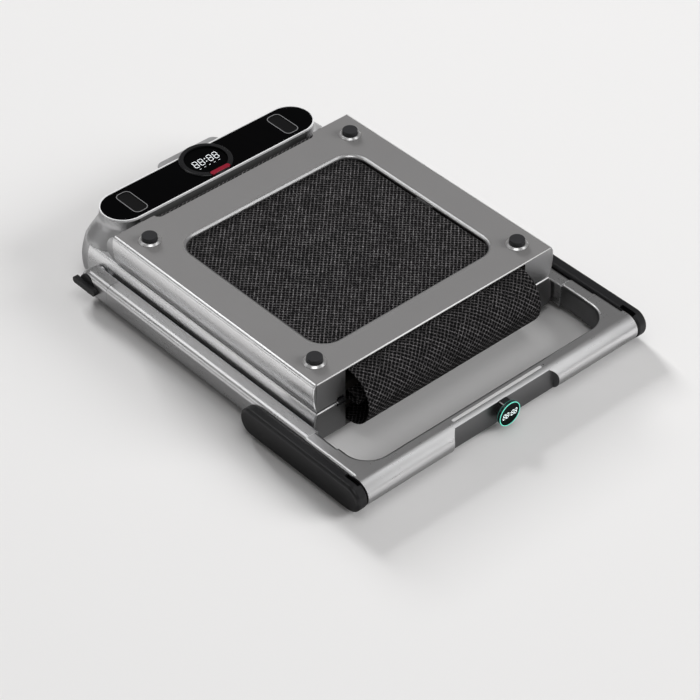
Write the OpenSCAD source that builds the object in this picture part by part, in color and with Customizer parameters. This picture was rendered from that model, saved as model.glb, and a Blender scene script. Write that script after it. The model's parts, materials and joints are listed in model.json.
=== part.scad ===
// Folding walking pad, stored folded, with its handrail lying flat round the deck.
// Millimetres. +X runs from the motor head to the fold, +Y to the far side, +Z up.
// The origin is under the middle of the folded machine, on the floor.
// Each deck half is drawn with its gap face at z = 0 and its underside plate on top.
// upper() sets the rear half in place that way up, and lower() mirrors it for the front half.

/* [Deck halves] */
// Length of each deck half, from the head-side edge to the cut end
half_len = 531; // [480:1:600]
// Thickness of each deck half, from its gap face to its underside plate
half_h = 62; // [58:1:70]
// Gap between the folded halves
half_gap = 3; // [2:0.5:6]
// Width of the walking belt
belt_w = 400; // [340:5:440]
// Thickness of the walking belt
belt_t = 1.7; // [1.4:0.1:2.2]
// Room between a belt edge and the rail beside it
belt_side_gap = 8; // [6:0.5:12]
// Depth of the walking surface below the rails' gap faces
belt_drop = 6; // [4:0.5:8]
// Depth of the belt's return run below the underside plate's face
return_recess = 8; // [7:0.5:11]
// Width of each rail under the underside plate
rail_w = 62; // [56:1:74]
// How far a rail's round side stands out past the plate
rail_bulge = 8.5; // [6:0.5:12]
// Radius of a rail's round side
rail_arc_r = 105; // [95:1:130]
// Height of a rail's widest line above its gap face
rail_belly = 39; // [34:1:44]
// Radius of a rail's edge beside the plate
rail_edge_r = 9; // [5:0.5:10]
// Radius of a rail's outer edge at the gap between the halves
rail_gap_r = 3; // [1:0.5:4]
// Wall of the rail extrusion
rail_wall = 3; // [2:0.5:4]
// Thickness of the end caps on the cut ends
cap_t = 3; // [2:0.5:5]
// How far the round tail caps stand out past the plate
tail_nose = 17; // [12:1:18]

/* [Underside plates] */
// Thickness of the pressed plate
plate_t = 3; // [2:0.5:4]
// Plate left between the head-side edge and the window
win_head = 88.5; // [76:0.5:106]
// Plate left between the window and the cut end
win_fold = 64; // [56:1:86]
// Distance of the window's long edges inside the rails' inner faces
win_in = 5; // [5:0.5:20]
// Corner radius of the window
win_r = 39; // [20:1:60]
// Radius of the rolled edge where the plate turns down round the window
lip_r = 6; // [4:0.5:6]
// Thickness of that flange
flange_t = 4.5; // [3:0.5:4.5]
// Depth of the shallow notch in the rear plate's head-side edge
notch_d = 11; // [4:1:14]
// Half length of that notch
notch_y = 184; // [150:1:195]

/* [Feet] */
// Height of the rubber feet
foot_h = 12; // [8:0.5:14]
// Diameter of the rubber feet
foot_d = 28; // [22:1:32]
// Outer diameter of the metal cup round each foot
cup_d = 40; // [36:1:46]
// Height of the metal cup
cup_h = 4; // [3:0.5:5]
// Foot centres from the head-side edge
foot_head = 50; // [30:1:60]
// Foot centres from the cut end
foot_fold = 47; // [30:1:60]
// Foot centres from the plate's long edges
foot_side = 36; // [24:1:44]

/* [Running board] */
// Thickness of the running board
board_t = 15; // [12:1:18]
// Gap between the board and the belt over it
board_gap = 0.3; // [0.2:0.1:1]
// Height of the rubber cushions under the board
cushion_h = 10; // [8:0.5:12]
// Diameter of the cushions
cushion_d = 24; // [18:1:32]
// Width of each cross bar
bar_w = 40; // [30:1:50]
// Height of each cross bar
bar_h = 14; // [10:1:15]
// Wall of the cross bar tube
bar_wall = 2; // [1.5:0.5:3]
// Number of cross bars in each half
bar_count = 3; // [3:1:4]

/* [Rollers] */
// Gap between a roller and the belt round it
roller_gap = 0.3; // [0.3:0.1:0.6]
// Wall of the roller tube
roller_wall = 3; // [2:0.5:4]
// How far the roller tube reaches past each belt edge
roller_over = 1; // [0.5:0.5:2]
// Diameter of the roller axles
axle_d = 12; // [10:0.5:14]
// Outer diameter of the roller bearings
bearing_d = 28; // [24:1:32]
// Width of a roller bearing
bearing_w = 8; // [6:1:12]
// Rear roller centre from the head-side edge
tail_roller_x = 7; // [6:0.5:12]
// Front roller centre behind the head-side edge
head_roller_x = 30; // [26:0.5:34]
// Radial running clearance of shafts and pins
run_gap = 0.05; // [0.03:0.01:0.08]
// Diameter of the belt adjuster bolts
adjuster_d = 6; // [5:0.5:7]

/* [Fold hinge] */
// Diameter of the hinge pins
hinge_pin_d = 5; // [4:0.5:6]
// Diameter of the hinge knuckles
knuckle_d = 9; // [8.5:0.5:12]
// Distance of the hinge pins beyond the cut ends
hinge_out = 1; // [0.5:0.5:2]
// Length of the hinge along its pin
hinge_len = 16; // [14:1:28]
// Thickness of the hinge leaves
leaf_t = 5; // [4:0.5:6]
// Reach of a hinge leaf into its rail
leaf_len = 60; // [40:1:90]
// How far the belt's return run bulges out at the fold
fold_bulge = 50; // [40:1:54]
// How far the walking run bulges out inside it
fold_inner = 26; // [18:1:30]

/* [Motor head] */
// Length of the console panel along the head
panel_len = 479; // [450:1:490]
// Width of the console panel
panel_w = 90; // [84:1:92]
// Gap between the console panel and the deck's head-side edge
panel_back = 28; // [24:0.5:32]
// Height of the console panel's face above the floor
panel_z = 124.5; // [118:0.5:130]
// Thickness of the console panel
panel_t = 3.5; // [3:0.5:5]
// Width of the bright rim round the panel
rim_w = 2.5; // [2:0.5:4]
// How far the rim stands over the panel
rim_over = 1; // [0.5:0.5:2]
// Wall of the moulded head cover
head_wall = 3; // [2:0.5:4]
// How far the head's lower front stands out past the panel
head_swell = 3; // [2:1:8]
// How far the front rails reach into the head
rail_reach = 79; // [60:1:84]
// Thickness of the head's base cover
base_t = 3; // [2:0.5:4]
// Clearance between moulded pieces that sit in each other
fit_gap = 0.3; // [0.2:0.1:0.5]

/* [Display and key] */
// Outer diameter of the display ring
ring_d = 100; // [92:1:102]
// Width of the display ring's band
ring_band = 9.5; // [7:0.5:12]
// How far the ring stands over the panel
ring_over = 3; // [2:0.5:4]
// Depth of the display cup under the ring
cup_depth = 18; // [14:1:24]
// Depth of the display glass below the top of the ring
glass_sink = 3; // [2:0.5:4]
// Length of the safety key's grip
key_len = 44; // [36:1:50]
// Width of the safety key's grip
key_w = 10; // [9:1:13]
// Distance of the safety key from the display's centre
key_off = 41; // [40:1:43]
// Length of each soft pad on the console
pad_len = 62; // [50:1:66]
// Width of each soft pad
pad_w = 27; // [20:1:34]
// Distance of the soft pads from the console's centre
pad_y = 177; // [150:1:180]
// How far the rear handle reaches past the panel
handle_reach = 25; // [20:1:34]
// Width of the rear handle
handle_w = 142; // [120:1:170]
// Height of the rear handle's top above the floor
handle_z = 114; // [108:1:116]
// Thickness of the rear handle's plate
handle_t = 4; // [3:0.5:5]
// Depth of the lip under the rear handle's edge
handle_lip = 14; // [10:1:20]

/* [Drive] */
// Diameter of the motor
motor_d = 58; // [50:1:60]
// Length of the motor
motor_len = 128; // [100:1:150]
// Diameter of the motor's pulley
motor_pulley_d = 16; // [14:1:20]
// Diameter of the front roller's pulley
roller_pulley_d = 38; // [34:1:40]
// Width of the ribbed drive belt
drive_w = 12; // [8:1:13]
// Thickness of the ribbed drive belt
drive_t = 2; // [1.5:0.5:3]
// Motor centre ahead of the front roller
motor_ahead = 44; // [42:1:46]
// Motor centre above the front roller
motor_above = 40; // [38:1:42]
// Diameter of the transport wheels
wheel_d = 25; // [20:1:28]
// Width of the transport wheels
wheel_w = 16; // [12:1:20]
// Diameter of the transport wheels' axle stubs
wheel_axle_d = 8; // [6:1:10]
// Gap between the transport wheels and the floor
wheel_lift = 3; // [2:0.5:5]

/* [Handrail] */
// Width of the handrail tube across the deck
post_w = 30.5; // [26:0.5:34]
// Height of the handrail tube as it lies
post_h = 49; // [44:1:52]
// Radius of the handrail tube's outer edges
post_r = 12; // [8:0.5:12]
// Radius of the handrail tube's edges on the deck's side
post_r_in = 3; // [2:0.5:8]
// Wall of the handrail tube
post_wall = 2.5; // [2:0.5:4]
// Gap between a handrail tube and the deck rail beside it
post_gap = 4.5; // [3:0.5:8]
// Height of the handrail's middle above the floor as it lies
post_z = 32.5; // [31:0.5:38]
// Handrail pivot behind the deck's head-side edge
pivot_back = 34; // [30:1:44]
// Diameter of the handrail pivot pins
pivot_d = 14; // [12:0.5:18]
// Length of the tube's end piece past the pivot
end_len = 54; // [40:1:70]
// Diameter of the bosses that carry the pivot pins
boss_d = 44; // [36:1:48]
// Where the cast cross member begins, past the cut ends
seam_out = 16; // [12:1:24]
// Clear room between the cut ends and the cross member
bail_gap = 133; // [128:1:150]
// Height of the cast cross member
bail_h = 52; // [50:1:54]
// Flat width of the cross member before its round nose
bail_flat = 16; // [12:1:24]
// Radius of the cross member's inner corners
bail_r = 45; // [30:1:60]
// Radius of the cross member's long edges on the deck's side
bail_edge_r = 7; // [4:0.5:8]
// Length of the cross member's thicker roots at the armrest pivots
root_len = 62; // [50:1:80]
// Half length of the recess in the nose
recess_y = 122; // [95:1:135]
// Corner radius of that recess
recess_r = 20; // [10:1:24]
// Depth of the recess behind the tip of the nose
recess_d = 14; // [10:1:18]
// Diameter of the round display on the handrail
pod_d = 47; // [40:1:48]
// Thickness of that display's disc
pod_t = 8; // [6:1:10]
// How far that display stands out past the nose
pod_out = 5; // [2:1:8]

/* [Armrests and knobs] */
// Thickness of an armrest
arm_t = 24; // [20:1:28]
// Height of an armrest as it lies
arm_h = 54; // [50:1:55]
// Length of an armrest, end to end
arm_len = 296; // [240:1:320]
// Radius of an armrest's long edges
arm_r = 7; // [4:0.5:10]
// Gap between an armrest and the handrail
arm_gap = 1; // [0.6:0.1:2]
// Diameter of the armrest pivot pins
arm_pin_d = 12; // [10:0.5:14]
// Length of a lock knob's paddle
paddle_len = 62; // [50:1:70]
// Height of a lock knob's paddle
paddle_h = 13; // [10:1:18]
// Thickness of a lock knob's paddle
paddle_t = 9; // [7:1:12]
// Diameter of a lock knob's hub
knob_d = 40; // [36:1:46]
// Thickness of a lock knob's hub
knob_t = 6; // [4:1:8]
// Depth of the seat in the tube's end that the hub turns in
knob_sink = 6; // [2:1:7]
// Length of a lock knob's stub in the handrail tube
knob_stub = 10; // [6:1:12]

/* [Hidden] */
$fn = 64;
silver = [0.62, 0.62, 0.63];
sheet_gray = [0.52, 0.52, 0.53];
black = [0.08, 0.08, 0.09];
steel = [0.7, 0.7, 0.72];
rubber = [0.13, 0.13, 0.14];
belt_black = [0.1, 0.1, 0.11];
eps = 0.01;

// Reach of the handrail's display past the cut ends, and of the rear handle past the panel
nose_out = bail_gap + bail_flat + bail_h / 2;
reach = nose_out + pod_out;
head_back = panel_back + panel_w + handle_reach;
// Head-side edge and cut end of the deck, with the whole machine centred on the origin
x_head = (head_back - half_len - reach) / 2;
x_fold = x_head + half_len;
// Half widths of the belt space, the plates and the round rails
rail_in = belt_w / 2 + belt_side_gap;
plate_y = rail_in + rail_w;
rail_out = plate_y + rail_bulge;
z_low = foot_h + half_h;
z_up = z_low + half_gap;
top_z = z_up + half_h + foot_h;
// Heights within a half: the belt's two runs, the roller between them, board and cross bars
return_v = half_h - return_recess;
flange_h = return_recess - 1;
roller_v = (belt_drop + return_v) / 2;
belt_r = (return_v - belt_drop) / 2;
roller_r = belt_r - belt_t - roller_gap;
board_v = belt_drop + belt_t + board_gap;
cushion_v = board_v + board_t;
bar_v = cushion_v + cushion_h;
board_y = rail_in - 3;
board_end = tail_roller_x + belt_r + 4;
rail_arc_y = rail_out - rail_arc_r;
edge_drop = half_h - rail_edge_r - rail_belly;
edge_y = rail_arc_y + sqrt(pow(rail_arc_r - rail_edge_r, 2) - edge_drop * edge_drop);
gap_y = rail_arc_y + sqrt(pow(rail_arc_r - rail_gap_r, 2) - pow(rail_belly - rail_gap_r, 2));
adjuster_y = rail_in + rail_wall + 11;
win_x0 = x_head + win_head;
win_x1 = x_fold - win_fold;
win_y = rail_in - win_in;
bars_head = 60;
bar_pitch = (half_len - bars_head - bar_w / 2 - 20) / (bar_count - 1);
roller_y = belt_w / 2 + roller_over;
// Fold hinge: its axis lies midway between the halves
hinge_x = x_fold + hinge_out;
hinge_z = z_low + half_gap / 2;
hinge_y = rail_in + rail_wall;
knuckle_part = hinge_len / 3;
// Rollers in the row frame
head_x = x_head - head_roller_x;
tail_x = x_head + tail_roller_x;
head_z = z_low - roller_v;
pulley_y = roller_y + 3.5;
motor_x = head_x - motor_ahead;
motor_z = head_z + motor_above;
block_y = pulley_y + drive_w + 5;
block_t = 10;
// Motor head outline
panel_x1 = x_head - panel_back;
panel_x0 = panel_x1 - panel_w;
panel_cx = (panel_x0 + panel_x1) / 2;
panel_r = panel_w / 2;
panel_cy = panel_len / 2 - panel_r;
cover_z = panel_z - panel_t;
ring_r = ring_d / 2;
ring_x = panel_x1 - rim_w - fit_gap - ring_r;
ring_z = panel_z + ring_over;
glass_z = ring_z - glass_sink;
glass_t = 2.5;
key_x = ring_x + key_off;
key_z = glass_z + 0.3;
key_h = 3.5;
stem_w = 6;
stem_l = 22;
stem_h = 9;
wheel_x = panel_x0 + 16;
wheel_y = block_y - 37;
wheel_z = wheel_d / 2 + wheel_lift;
inlet_y = 150;
inlet_w = 30;
inlet_h = 24;
inlet_z = foot_h + 28;
switch_y = 105;
switch_w = 22;
switch_h = 15;
switch_wall = 2.4;
switch_pin_r = 3;
switch_x = head_front(inlet_z) + 7;
// Handrail
post_in = rail_out + post_gap;
post_y = post_in + post_w / 2;
post_out = post_in + post_w;
pivot_x = x_head - pivot_back;
hub_y0 = post_out - knob_sink + 0.5;
hub_y1 = hub_y0 + knob_t;
stub_y = post_out - knob_sink - knob_stub;
x_seam = x_fold + seam_out;
bail_in = x_fold + bail_gap;
bail_cx = bail_in + bail_flat;
nose_x = x_fold + nose_out;
recess_x = nose_x - recess_d;
trim_y = recess_y - 18;
pod_z = post_z + 1.5;
pod_rim = 1.3;
arm_in = post_out + arm_gap;
root_in = post_in + 1;
root_out = post_out + arm_gap - 0.4;
arm_out = arm_in + arm_t;

// Sets a rear half piece in place, as drawn
module upper() { translate([0, 0, z_up]) children(); }

// Turns a piece over for the front half
module lower() { translate([0, 0, z_low]) mirror([0, 0, 1]) children(); }

// Draws a piece on both sides
module both() {
    for (side = [0, 1]) mirror([0, side, 0]) children();
}

// Extrudes a Y-Z outline along X from x0 to x1
module along_x(x0, x1) {
    translate([x0, 0, 0]) rotate([90, 0, 90]) linear_extrude(x1 - x0) children();
}

// A cylinder along Y from y0 to y1
module rod_y(x, z, r, y0, y1) {
    translate([x, y0, z]) rotate([-90, 0, 0]) cylinder(r = r, h = y1 - y0);
}

// A cylinder along X from x0 to x1
module rod_x(y, z, r, x0, x1) {
    translate([x0, y, z]) rotate([0, 90, 0]) cylinder(r = r, h = x1 - x0);
}

// A box between two corners
module box(low, high) { translate(low) cube(high - low); }

// A rectangle with round corners, from its lower corner to its upper one
module round_rect(low, high, r) {
    translate([low[0] + r, low[1]]) square([high[0] - low[0] - 2 * r, high[1] - low[1]]);
    translate([low[0], low[1] + r]) square([high[0] - low[0], high[1] - low[1] - 2 * r]);
    for (x = [low[0] + r, high[0] - r], y = [low[1] + r, high[1] - r]) translate([x, y]) circle(r);
}

// Rails: a hollow extrusion with one broad round side and a rebate for the plate

module rail_outline() {
    intersection() {
        translate([rail_arc_y, rail_belly]) circle(r = rail_arc_r, $fn = 180);
        union() {
            translate([rail_in, rail_gap_r]) square([rail_arc_r, half_h - rail_edge_r - rail_gap_r]);
            translate([rail_in, rail_belly]) square([edge_y - rail_in, half_h - rail_belly]);
            translate([rail_in, 0]) square([gap_y - rail_in, rail_belly]);
            translate([edge_y, half_h - rail_edge_r]) circle(rail_edge_r);
            translate([gap_y, rail_gap_r]) circle(rail_gap_r);
        }
    }
}

module rail_section() {
    difference() {
        rail_outline();
        translate([rail_in - 1, half_h - plate_t]) square([rail_w + 1 + fit_gap, plate_t + 1]);
        intersection() {
            translate([rail_arc_y, rail_belly]) circle(r = rail_arc_r - rail_wall, $fn = 180);
            translate([rail_in + rail_wall, rail_wall])
                square([rail_arc_r, half_h - plate_t - 2 * rail_wall]);
        }
    }
}

// Room for the hinge at the cut end of a rail
module hinge_room() {
    box([x_fold - leaf_t - knuckle_d / 2, hinge_y - fit_gap, -eps],
        [x_fold + 1, hinge_y + hinge_len + fit_gap, rail_wall + leaf_t]);
    rod_y(hinge_x, -half_gap / 2, knuckle_d / 2 + 0.8, hinge_y - fit_gap, hinge_y + hinge_len + fit_gap);
}

module rear_rails() {
    color(silver) upper() both() difference() {
        along_x(x_head, x_fold - cap_t) rail_section();
        hinge_room();
        // open slot for the axle at the tail
        box([x_head - 1, rail_in - 1, roller_v - axle_d / 2 - run_gap],
            [tail_x + axle_d, rail_in + rail_wall + 1, roller_v + axle_d / 2 + run_gap]);
    }
}

module front_rails() {
    color(silver) lower() both() difference() {
        along_x(x_head - rail_reach, x_fold - cap_t) rail_section();
        hinge_room();
        // the inner side is cut away beside the roller and its pulley
        box([x_head - rail_reach - 1, rail_in - 1, -1], [x_head - 2, block_y + block_t + 2, half_h + 1]);
        // hole for the handrail's pivot boss
        rod_y(pivot_x, z_low - post_z, pivot_d / 2 + 3 + run_gap, rail_out - 30, rail_out + 1);
    }
}

// End caps: flat plates on the cut ends, and round noses on the tail

module fold_cap() {
    difference() {
        along_x(x_fold - cap_t, x_fold) difference() {
            rail_outline();
            translate([rail_in - 1, half_h - plate_t]) square([rail_w + 1 + fit_gap, plate_t + 1]);
        }
        hinge_room();
    }
}

// The nose is the rail's own outline cut by a broad round along the tail
module tail_cap() {
    nose_r = (half_h * half_h / 4 + tail_nose * tail_nose) / (2 * tail_nose);
    difference() {
        intersection() {
            along_x(x_head - tail_nose, x_head - fit_gap) rail_outline();
            rod_y(x_head - tail_nose + nose_r, half_h / 2, nose_r, 0, rail_out + 1);
        }
        rod_x(adjuster_y, roller_v, adjuster_d / 2 + 0.2, x_head - tail_nose - 1, x_head + 1);
        rod_x(adjuster_y, roller_v, adjuster_d / 2 + 3.6, x_head - tail_nose - 1, x_head - tail_nose + 5);
    }
    // plug that holds the cap in the rail
    difference() {
        along_x(x_head - fit_gap - eps, x_head + 10)
            translate([rail_in + rail_wall + 24, rail_wall + 2]) square([30, 12]);
        rod_y(tail_x, roller_v, axle_d, 0, rail_out);
    }
}

module front_end_caps() { color(sheet_gray) lower() both() fold_cap(); }

module rear_end_caps() {
    color(silver) upper() both() {
        fold_cap();
        tail_cap();
    }
}

// Underside plates with their flanged windows

module window(grow) {
    round_rect([win_x0 - grow, -win_y - grow], [win_x1 + grow, win_y + grow], win_r + grow);
}

// Half of the window's section: it widens at the plate's face along the rolled edge
module lip_section(half) {
    low = half_h - flange_h - 1;
    difference() {
        translate([0, low]) square([half + lip_r, flange_h + 2]);
        translate([half + lip_r, half_h - lip_r]) circle(lip_r);
        translate([half, low - 1]) square([lip_r + 1, flange_h + 2 - lip_r]);
    }
}

module lip_strip(half, long) {
    linear_extrude(long, center = true) for (side = [0, 1]) mirror([side, 0]) lip_section(half);
}

module window_cut() {
    mid = (win_x0 + win_x1) / 2;
    along = win_x1 - win_x0;
    translate([mid, 0, 0]) {
        rotate([90, 0, 90]) lip_strip(win_y, along - 2 * win_r);
        rotate([90, 0, 0]) lip_strip(along / 2, 2 * (win_y - win_r));
        for (x = [-1, 1], y = [-1, 1])
            translate([x * (along / 2 - win_r), y * (win_y - win_r), 0]) rotate_extrude() lip_section(win_r);
    }
}

module deck_plate(with_notch) {
    difference() {
        union() {
            translate([0, 0, half_h - plate_t]) linear_extrude(plate_t)
                translate([x_head, -plate_y]) square([half_len, 2 * plate_y]);
            translate([0, 0, half_h - flange_h]) linear_extrude(flange_h) window(flange_t);
        }
        window_cut();
        // holes for the foot studs
        foot_places() cylinder(d = foot_d / 3 + 2 * fit_gap, h = half_h + 1);
        if (with_notch) translate([0, 0, half_h - plate_t - 1]) linear_extrude(plate_t + 2)
            round_rect([x_head - 30, -notch_y], [x_head + notch_d, notch_y], notch_d);
    }
}

module foot_places() {
    for (x = [x_head + foot_head, x_fold - foot_fold], side = [-1, 1])
        translate([x, side * (plate_y - foot_side), 0]) children();
}

module front_plate() { color(sheet_gray) lower() deck_plate(false); }
module rear_plate() { color(sheet_gray) upper() deck_plate(true); }

// Feet: a rubber plug with a stud through the plate, in a turned cup

module foot() {
    edge = 1.5;
    rotate_extrude() {
        difference() {
            translate([0, half_h]) square([foot_d / 2, foot_h]);
            translate([foot_d / 2 - edge, half_h + foot_h - edge]) square(edge + 1);
        }
        translate([0, half_h + foot_h - edge]) square([foot_d / 2 - edge, edge]);
        intersection() {
            translate([foot_d / 2 - edge, half_h + foot_h - edge]) circle(edge);
            translate([0, half_h]) square([foot_d, foot_h]);
        }
        translate([0, half_h - plate_t]) square([foot_d / 6, plate_t + eps]);
    }
}

module foot_cup() {
    bore = foot_d / 2 + fit_gap;
    rotate_extrude() polygon([
        [bore, half_h], [cup_d / 2, half_h], [cup_d / 2, half_h + 0.8],
        [bore + 2.4, half_h + cup_h], [bore, half_h + cup_h]
    ]);
}

module front_feet() { color(rubber) lower() foot_places() foot(); }
module rear_feet() { color(rubber) upper() foot_places() foot(); }
module front_foot_cups() { color(steel) lower() foot_places() foot_cup(); }
module rear_foot_cups() { color(steel) upper() foot_places() foot_cup(); }

// Running board, cushions and cross bars

module board() {
    edge = 4;
    difference() {
        box([x_head + board_end, -board_y, board_v], [x_fold - cap_t - 2, board_y, board_v + board_t]);
        // eased edge where the belt runs onto the board
        translate([x_head + board_end, -board_y - 1, board_v]) rotate([0, 45, 0])
            translate([-edge / 2, 0, -edge / 2]) cube([edge, 2 * board_y + 2, edge]);
    }
}

module bar_places() {
    for (i = [0 : bar_count - 1]) translate([x_head + bars_head + i * bar_pitch, 0, 0]) children();
}

module cross_bars() {
    bar_places() difference() {
        box([-bar_w / 2, -rail_in, bar_v], [bar_w / 2, rail_in, bar_v + bar_h]);
        box([-bar_w / 2 + bar_wall, -rail_in - 1, bar_v + bar_wall],
            [bar_w / 2 - bar_wall, rail_in + 1, bar_v + bar_h - bar_wall]);
    }
}

module cushions() {
    bar_places() for (y = [-1, 0, 1]) translate([0, y * board_y * 0.75, cushion_v]) difference() {
        cylinder(d = cushion_d, h = cushion_h);
        // waist that lets the cushion bulge
        translate([0, 0, cushion_h / 2]) rotate_extrude() translate([cushion_d / 2 + 1, 0]) circle(3);
    }
}

module front_board() { color("burlywood") lower() board(); }
module rear_board() { color("burlywood") upper() board(); }
module front_cross_bars() { color(steel) lower() cross_bars(); }
module rear_cross_bars() { color(steel) upper() cross_bars(); }
module front_cushions() { color(rubber) lower() cushions(); }
module rear_cushions() { color(rubber) upper() cushions(); }

// Walking belt: two straight runs and the wrap round a roller, in each half

module belt_half(cx) {
    along = x_fold - cx;
    translate([0, belt_w / 2, 0]) rotate([90, 0, 0]) linear_extrude(belt_w) {
        translate([cx, belt_drop]) square([along, belt_t]);
        translate([cx, return_v - belt_t]) square([along, belt_t]);
        difference() {
            translate([cx, roller_v]) circle(r = belt_r, $fn = 96);
            translate([cx, roller_v]) circle(r = belt_r - belt_t, $fn = 96);
            translate([cx, 0]) square([belt_r + 1, half_h]);
        }
    }
}

// Half-oval loop of belt past the cut ends, bulge long and half_z high, about the hinge line
function half_oval(bulge, half_z, steps) =
    [for (i = [0 : steps]) let (a = -90 + 180 * i / steps) [bulge * cos(a), half_z * sin(a)]];

module belt_loop(bulge, half_z) {
    translate([x_fold, belt_w / 2, hinge_z]) rotate([90, 0, 0]) linear_extrude(belt_w) difference() {
        polygon(half_oval(bulge, half_z, 36));
        polygon(concat(half_oval(bulge - belt_t, half_z - belt_t, 36), [[-1, half_z - belt_t], [-1, belt_t - half_z]]));
    }
}

module belt_front() { color(belt_black) lower() belt_half(head_x); }
module belt_rear() { color(belt_black) upper() belt_half(tail_x); }
module belt_fold_outer() { color(belt_black) belt_loop(fold_bulge, half_gap / 2 + return_v); }
module belt_fold_inner() { color(belt_black) belt_loop(fold_inner, half_gap / 2 + belt_drop + belt_t); }

// Rollers: a steel tube with end plugs that hold a bearing each, on a fixed axle

module roller_at(x, z) {
    translate([x, 0, z]) rotate([-90, 0, 0]) rotate_extrude() {
        translate([roller_r - roller_wall, -roller_y]) square([roller_wall, 2 * roller_y]);
        for (side = [0, 1]) mirror([0, side]) {
            translate([bearing_d / 2 + run_gap, roller_y - bearing_w])
                square([roller_r - roller_wall - bearing_d / 2 - run_gap + eps, bearing_w]);
            translate([axle_d / 2 + 3, roller_y - bearing_w - 3])
                square([roller_r - roller_wall - axle_d / 2 - 3 + eps, 3]);
        }
    }
}

module bearings_at(x, z) {
    groove = 1.5;
    both() translate([x, roller_y - bearing_w, z]) rotate([-90, 0, 0]) rotate_extrude() difference() {
        translate([axle_d / 2 + run_gap, 0]) square([bearing_d / 2 - axle_d / 2 - run_gap, bearing_w]);
        // shield groove between the rings
        translate([axle_d / 2 + 2.5, bearing_w - groove])
            square([bearing_d / 2 - axle_d / 2 - 5, groove + 1]);
    }
}

module front_roller() { color(steel) roller_at(head_x, head_z); }
module front_bearings() { color(steel) bearings_at(head_x, head_z); }
module rear_roller() { color(steel) roller_at(tail_x, z_up + roller_v); }
module rear_bearings() { color(steel) bearings_at(tail_x, z_up + roller_v); }

module front_axle() {
    color(steel) rod_y(head_x, head_z, axle_d / 2, -block_y - block_t, block_y + block_t);
}

module rear_axle() {
    end_y = rail_in + 24;
    color(steel) difference() {
        rod_y(tail_x, z_up + roller_v, axle_d / 2, -end_y, end_y);
        both() rod_x(adjuster_y, z_up + roller_v, adjuster_d / 2 + run_gap, tail_x - axle_d, tail_x + axle_d);
    }
}

// Adjuster bolts: a round head with a hexagon socket, threaded through the axle
module rear_adjusters() {
    color(steel) upper() both() difference() {
        union() {
            rod_x(adjuster_y, roller_v, adjuster_d / 2 + 3, x_head - tail_nose + 0.5, x_head - tail_nose + 5);
            rod_x(adjuster_y, roller_v, adjuster_d / 2, x_head - tail_nose + 4, tail_x + 34);
        }
        translate([x_head - tail_nose, adjuster_y, roller_v]) rotate([0, 90, 0])
            cylinder(d = adjuster_d * 0.9, h = 3, $fn = 6);
    }
}

// Pulley on the drive side of the front roller, with ribs for the drive belt
module front_pulley() {
    rib = 2;
    color(black) translate([head_x, -pulley_y - drive_w, head_z]) rotate([-90, 0, 0]) difference() {
        union() {
            cylinder(d = roller_pulley_d, h = drive_w);
            cylinder(d = axle_d + 14, h = drive_w + pulley_y - roller_y);
        }
        translate([0, 0, -1]) cylinder(d = axle_d + 1, h = drive_w + 10);
        for (i = [1 : floor(drive_w / rib) - 1]) translate([0, 0, i * rib]) rotate_extrude()
            translate([roller_pulley_d / 2, 0]) circle(d = 1, $fn = 24);
    }
}

// Fold hinge: leaves inside the rail ends, three knuckles on one pin each side

module hinge_leaf(parts) {
    y_in = hinge_y + fit_gap;
    y_out = hinge_y + hinge_len - fit_gap;
    difference() {
        union() {
            box([x_fold - leaf_len, y_in, rail_wall], [x_fold - knuckle_d / 2 - 4, y_out, rail_wall + leaf_t]);
            for (i = parts) {
                y0 = hinge_y + i * knuckle_part + fit_gap;
                y1 = hinge_y + (i + 1) * knuckle_part - fit_gap;
                rod_y(hinge_x, -half_gap / 2, knuckle_d / 2, y0, y1);
                box([x_fold - knuckle_d / 2 - 4 - eps, y0, 1], [hinge_x, y1, knuckle_d / 2 - half_gap / 2 - 0.3]);
                box([x_fold - knuckle_d / 2 - 4 - eps, y0, 1],
                    [x_fold - knuckle_d / 2, y1, rail_wall + leaf_t - fit_gap]);
            }
        }
        rod_y(hinge_x, -half_gap / 2, hinge_pin_d / 2 + run_gap, hinge_y - 1, hinge_y + hinge_len + 1);
    }
}

module front_hinge_leaves() { color(black) lower() both() hinge_leaf([0, 2]); }
module rear_hinge_leaves() { color(black) upper() both() hinge_leaf([1]); }

module hinge_pins() {
    color(steel) both() rod_y(hinge_x, hinge_z, hinge_pin_d / 2, hinge_y + fit_gap, hinge_y + hinge_len - fit_gap);
}

// Motor head: a moulded cover lofted through rounded outlines, which swells from the
// console's stadium at the top to the full width of the rails at the bottom

// Levels from the floor up: share of the height, swell in front, half width, corner radius
function lerp(a, b, t) = a + (b - a) * t;
function ease(t) = t * t * (3 - 2 * t);
head_low_z = foot_h;
shoulder_z = z_low - 3;
head_top_w = panel_len / 2;
levels_low = 4;
levels_up = 8;

// Half width at a height: the rail's own arc below the shoulder, then an easy curve to the rim
function head_half(z) =
    z <= shoulder_z
    ? rail_arc_y + sqrt(rail_arc_r * rail_arc_r - pow(z_low - z - rail_belly, 2))
    : lerp(head_half(shoulder_z), head_top_w, ease(min(1, (z - shoulder_z) / (cover_z - 14 - shoulder_z))));
function head_front(z) =
    panel_x0 - head_swell * (1 - pow(abs(z - z_low * 0.4) / (cover_z - z_low * 0.4), 2));
function head_corner(z) = lerp(36, panel_r, min(1, max(0, (z - head_low_z) / (cover_z - head_low_z))));
head_levels = concat(
    [for (i = [0 : levels_low]) lerp(head_low_z, shoulder_z, i / levels_low)],
    [for (i = [1 : levels_up]) lerp(shoulder_z, cover_z, i / levels_up)]);

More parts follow.
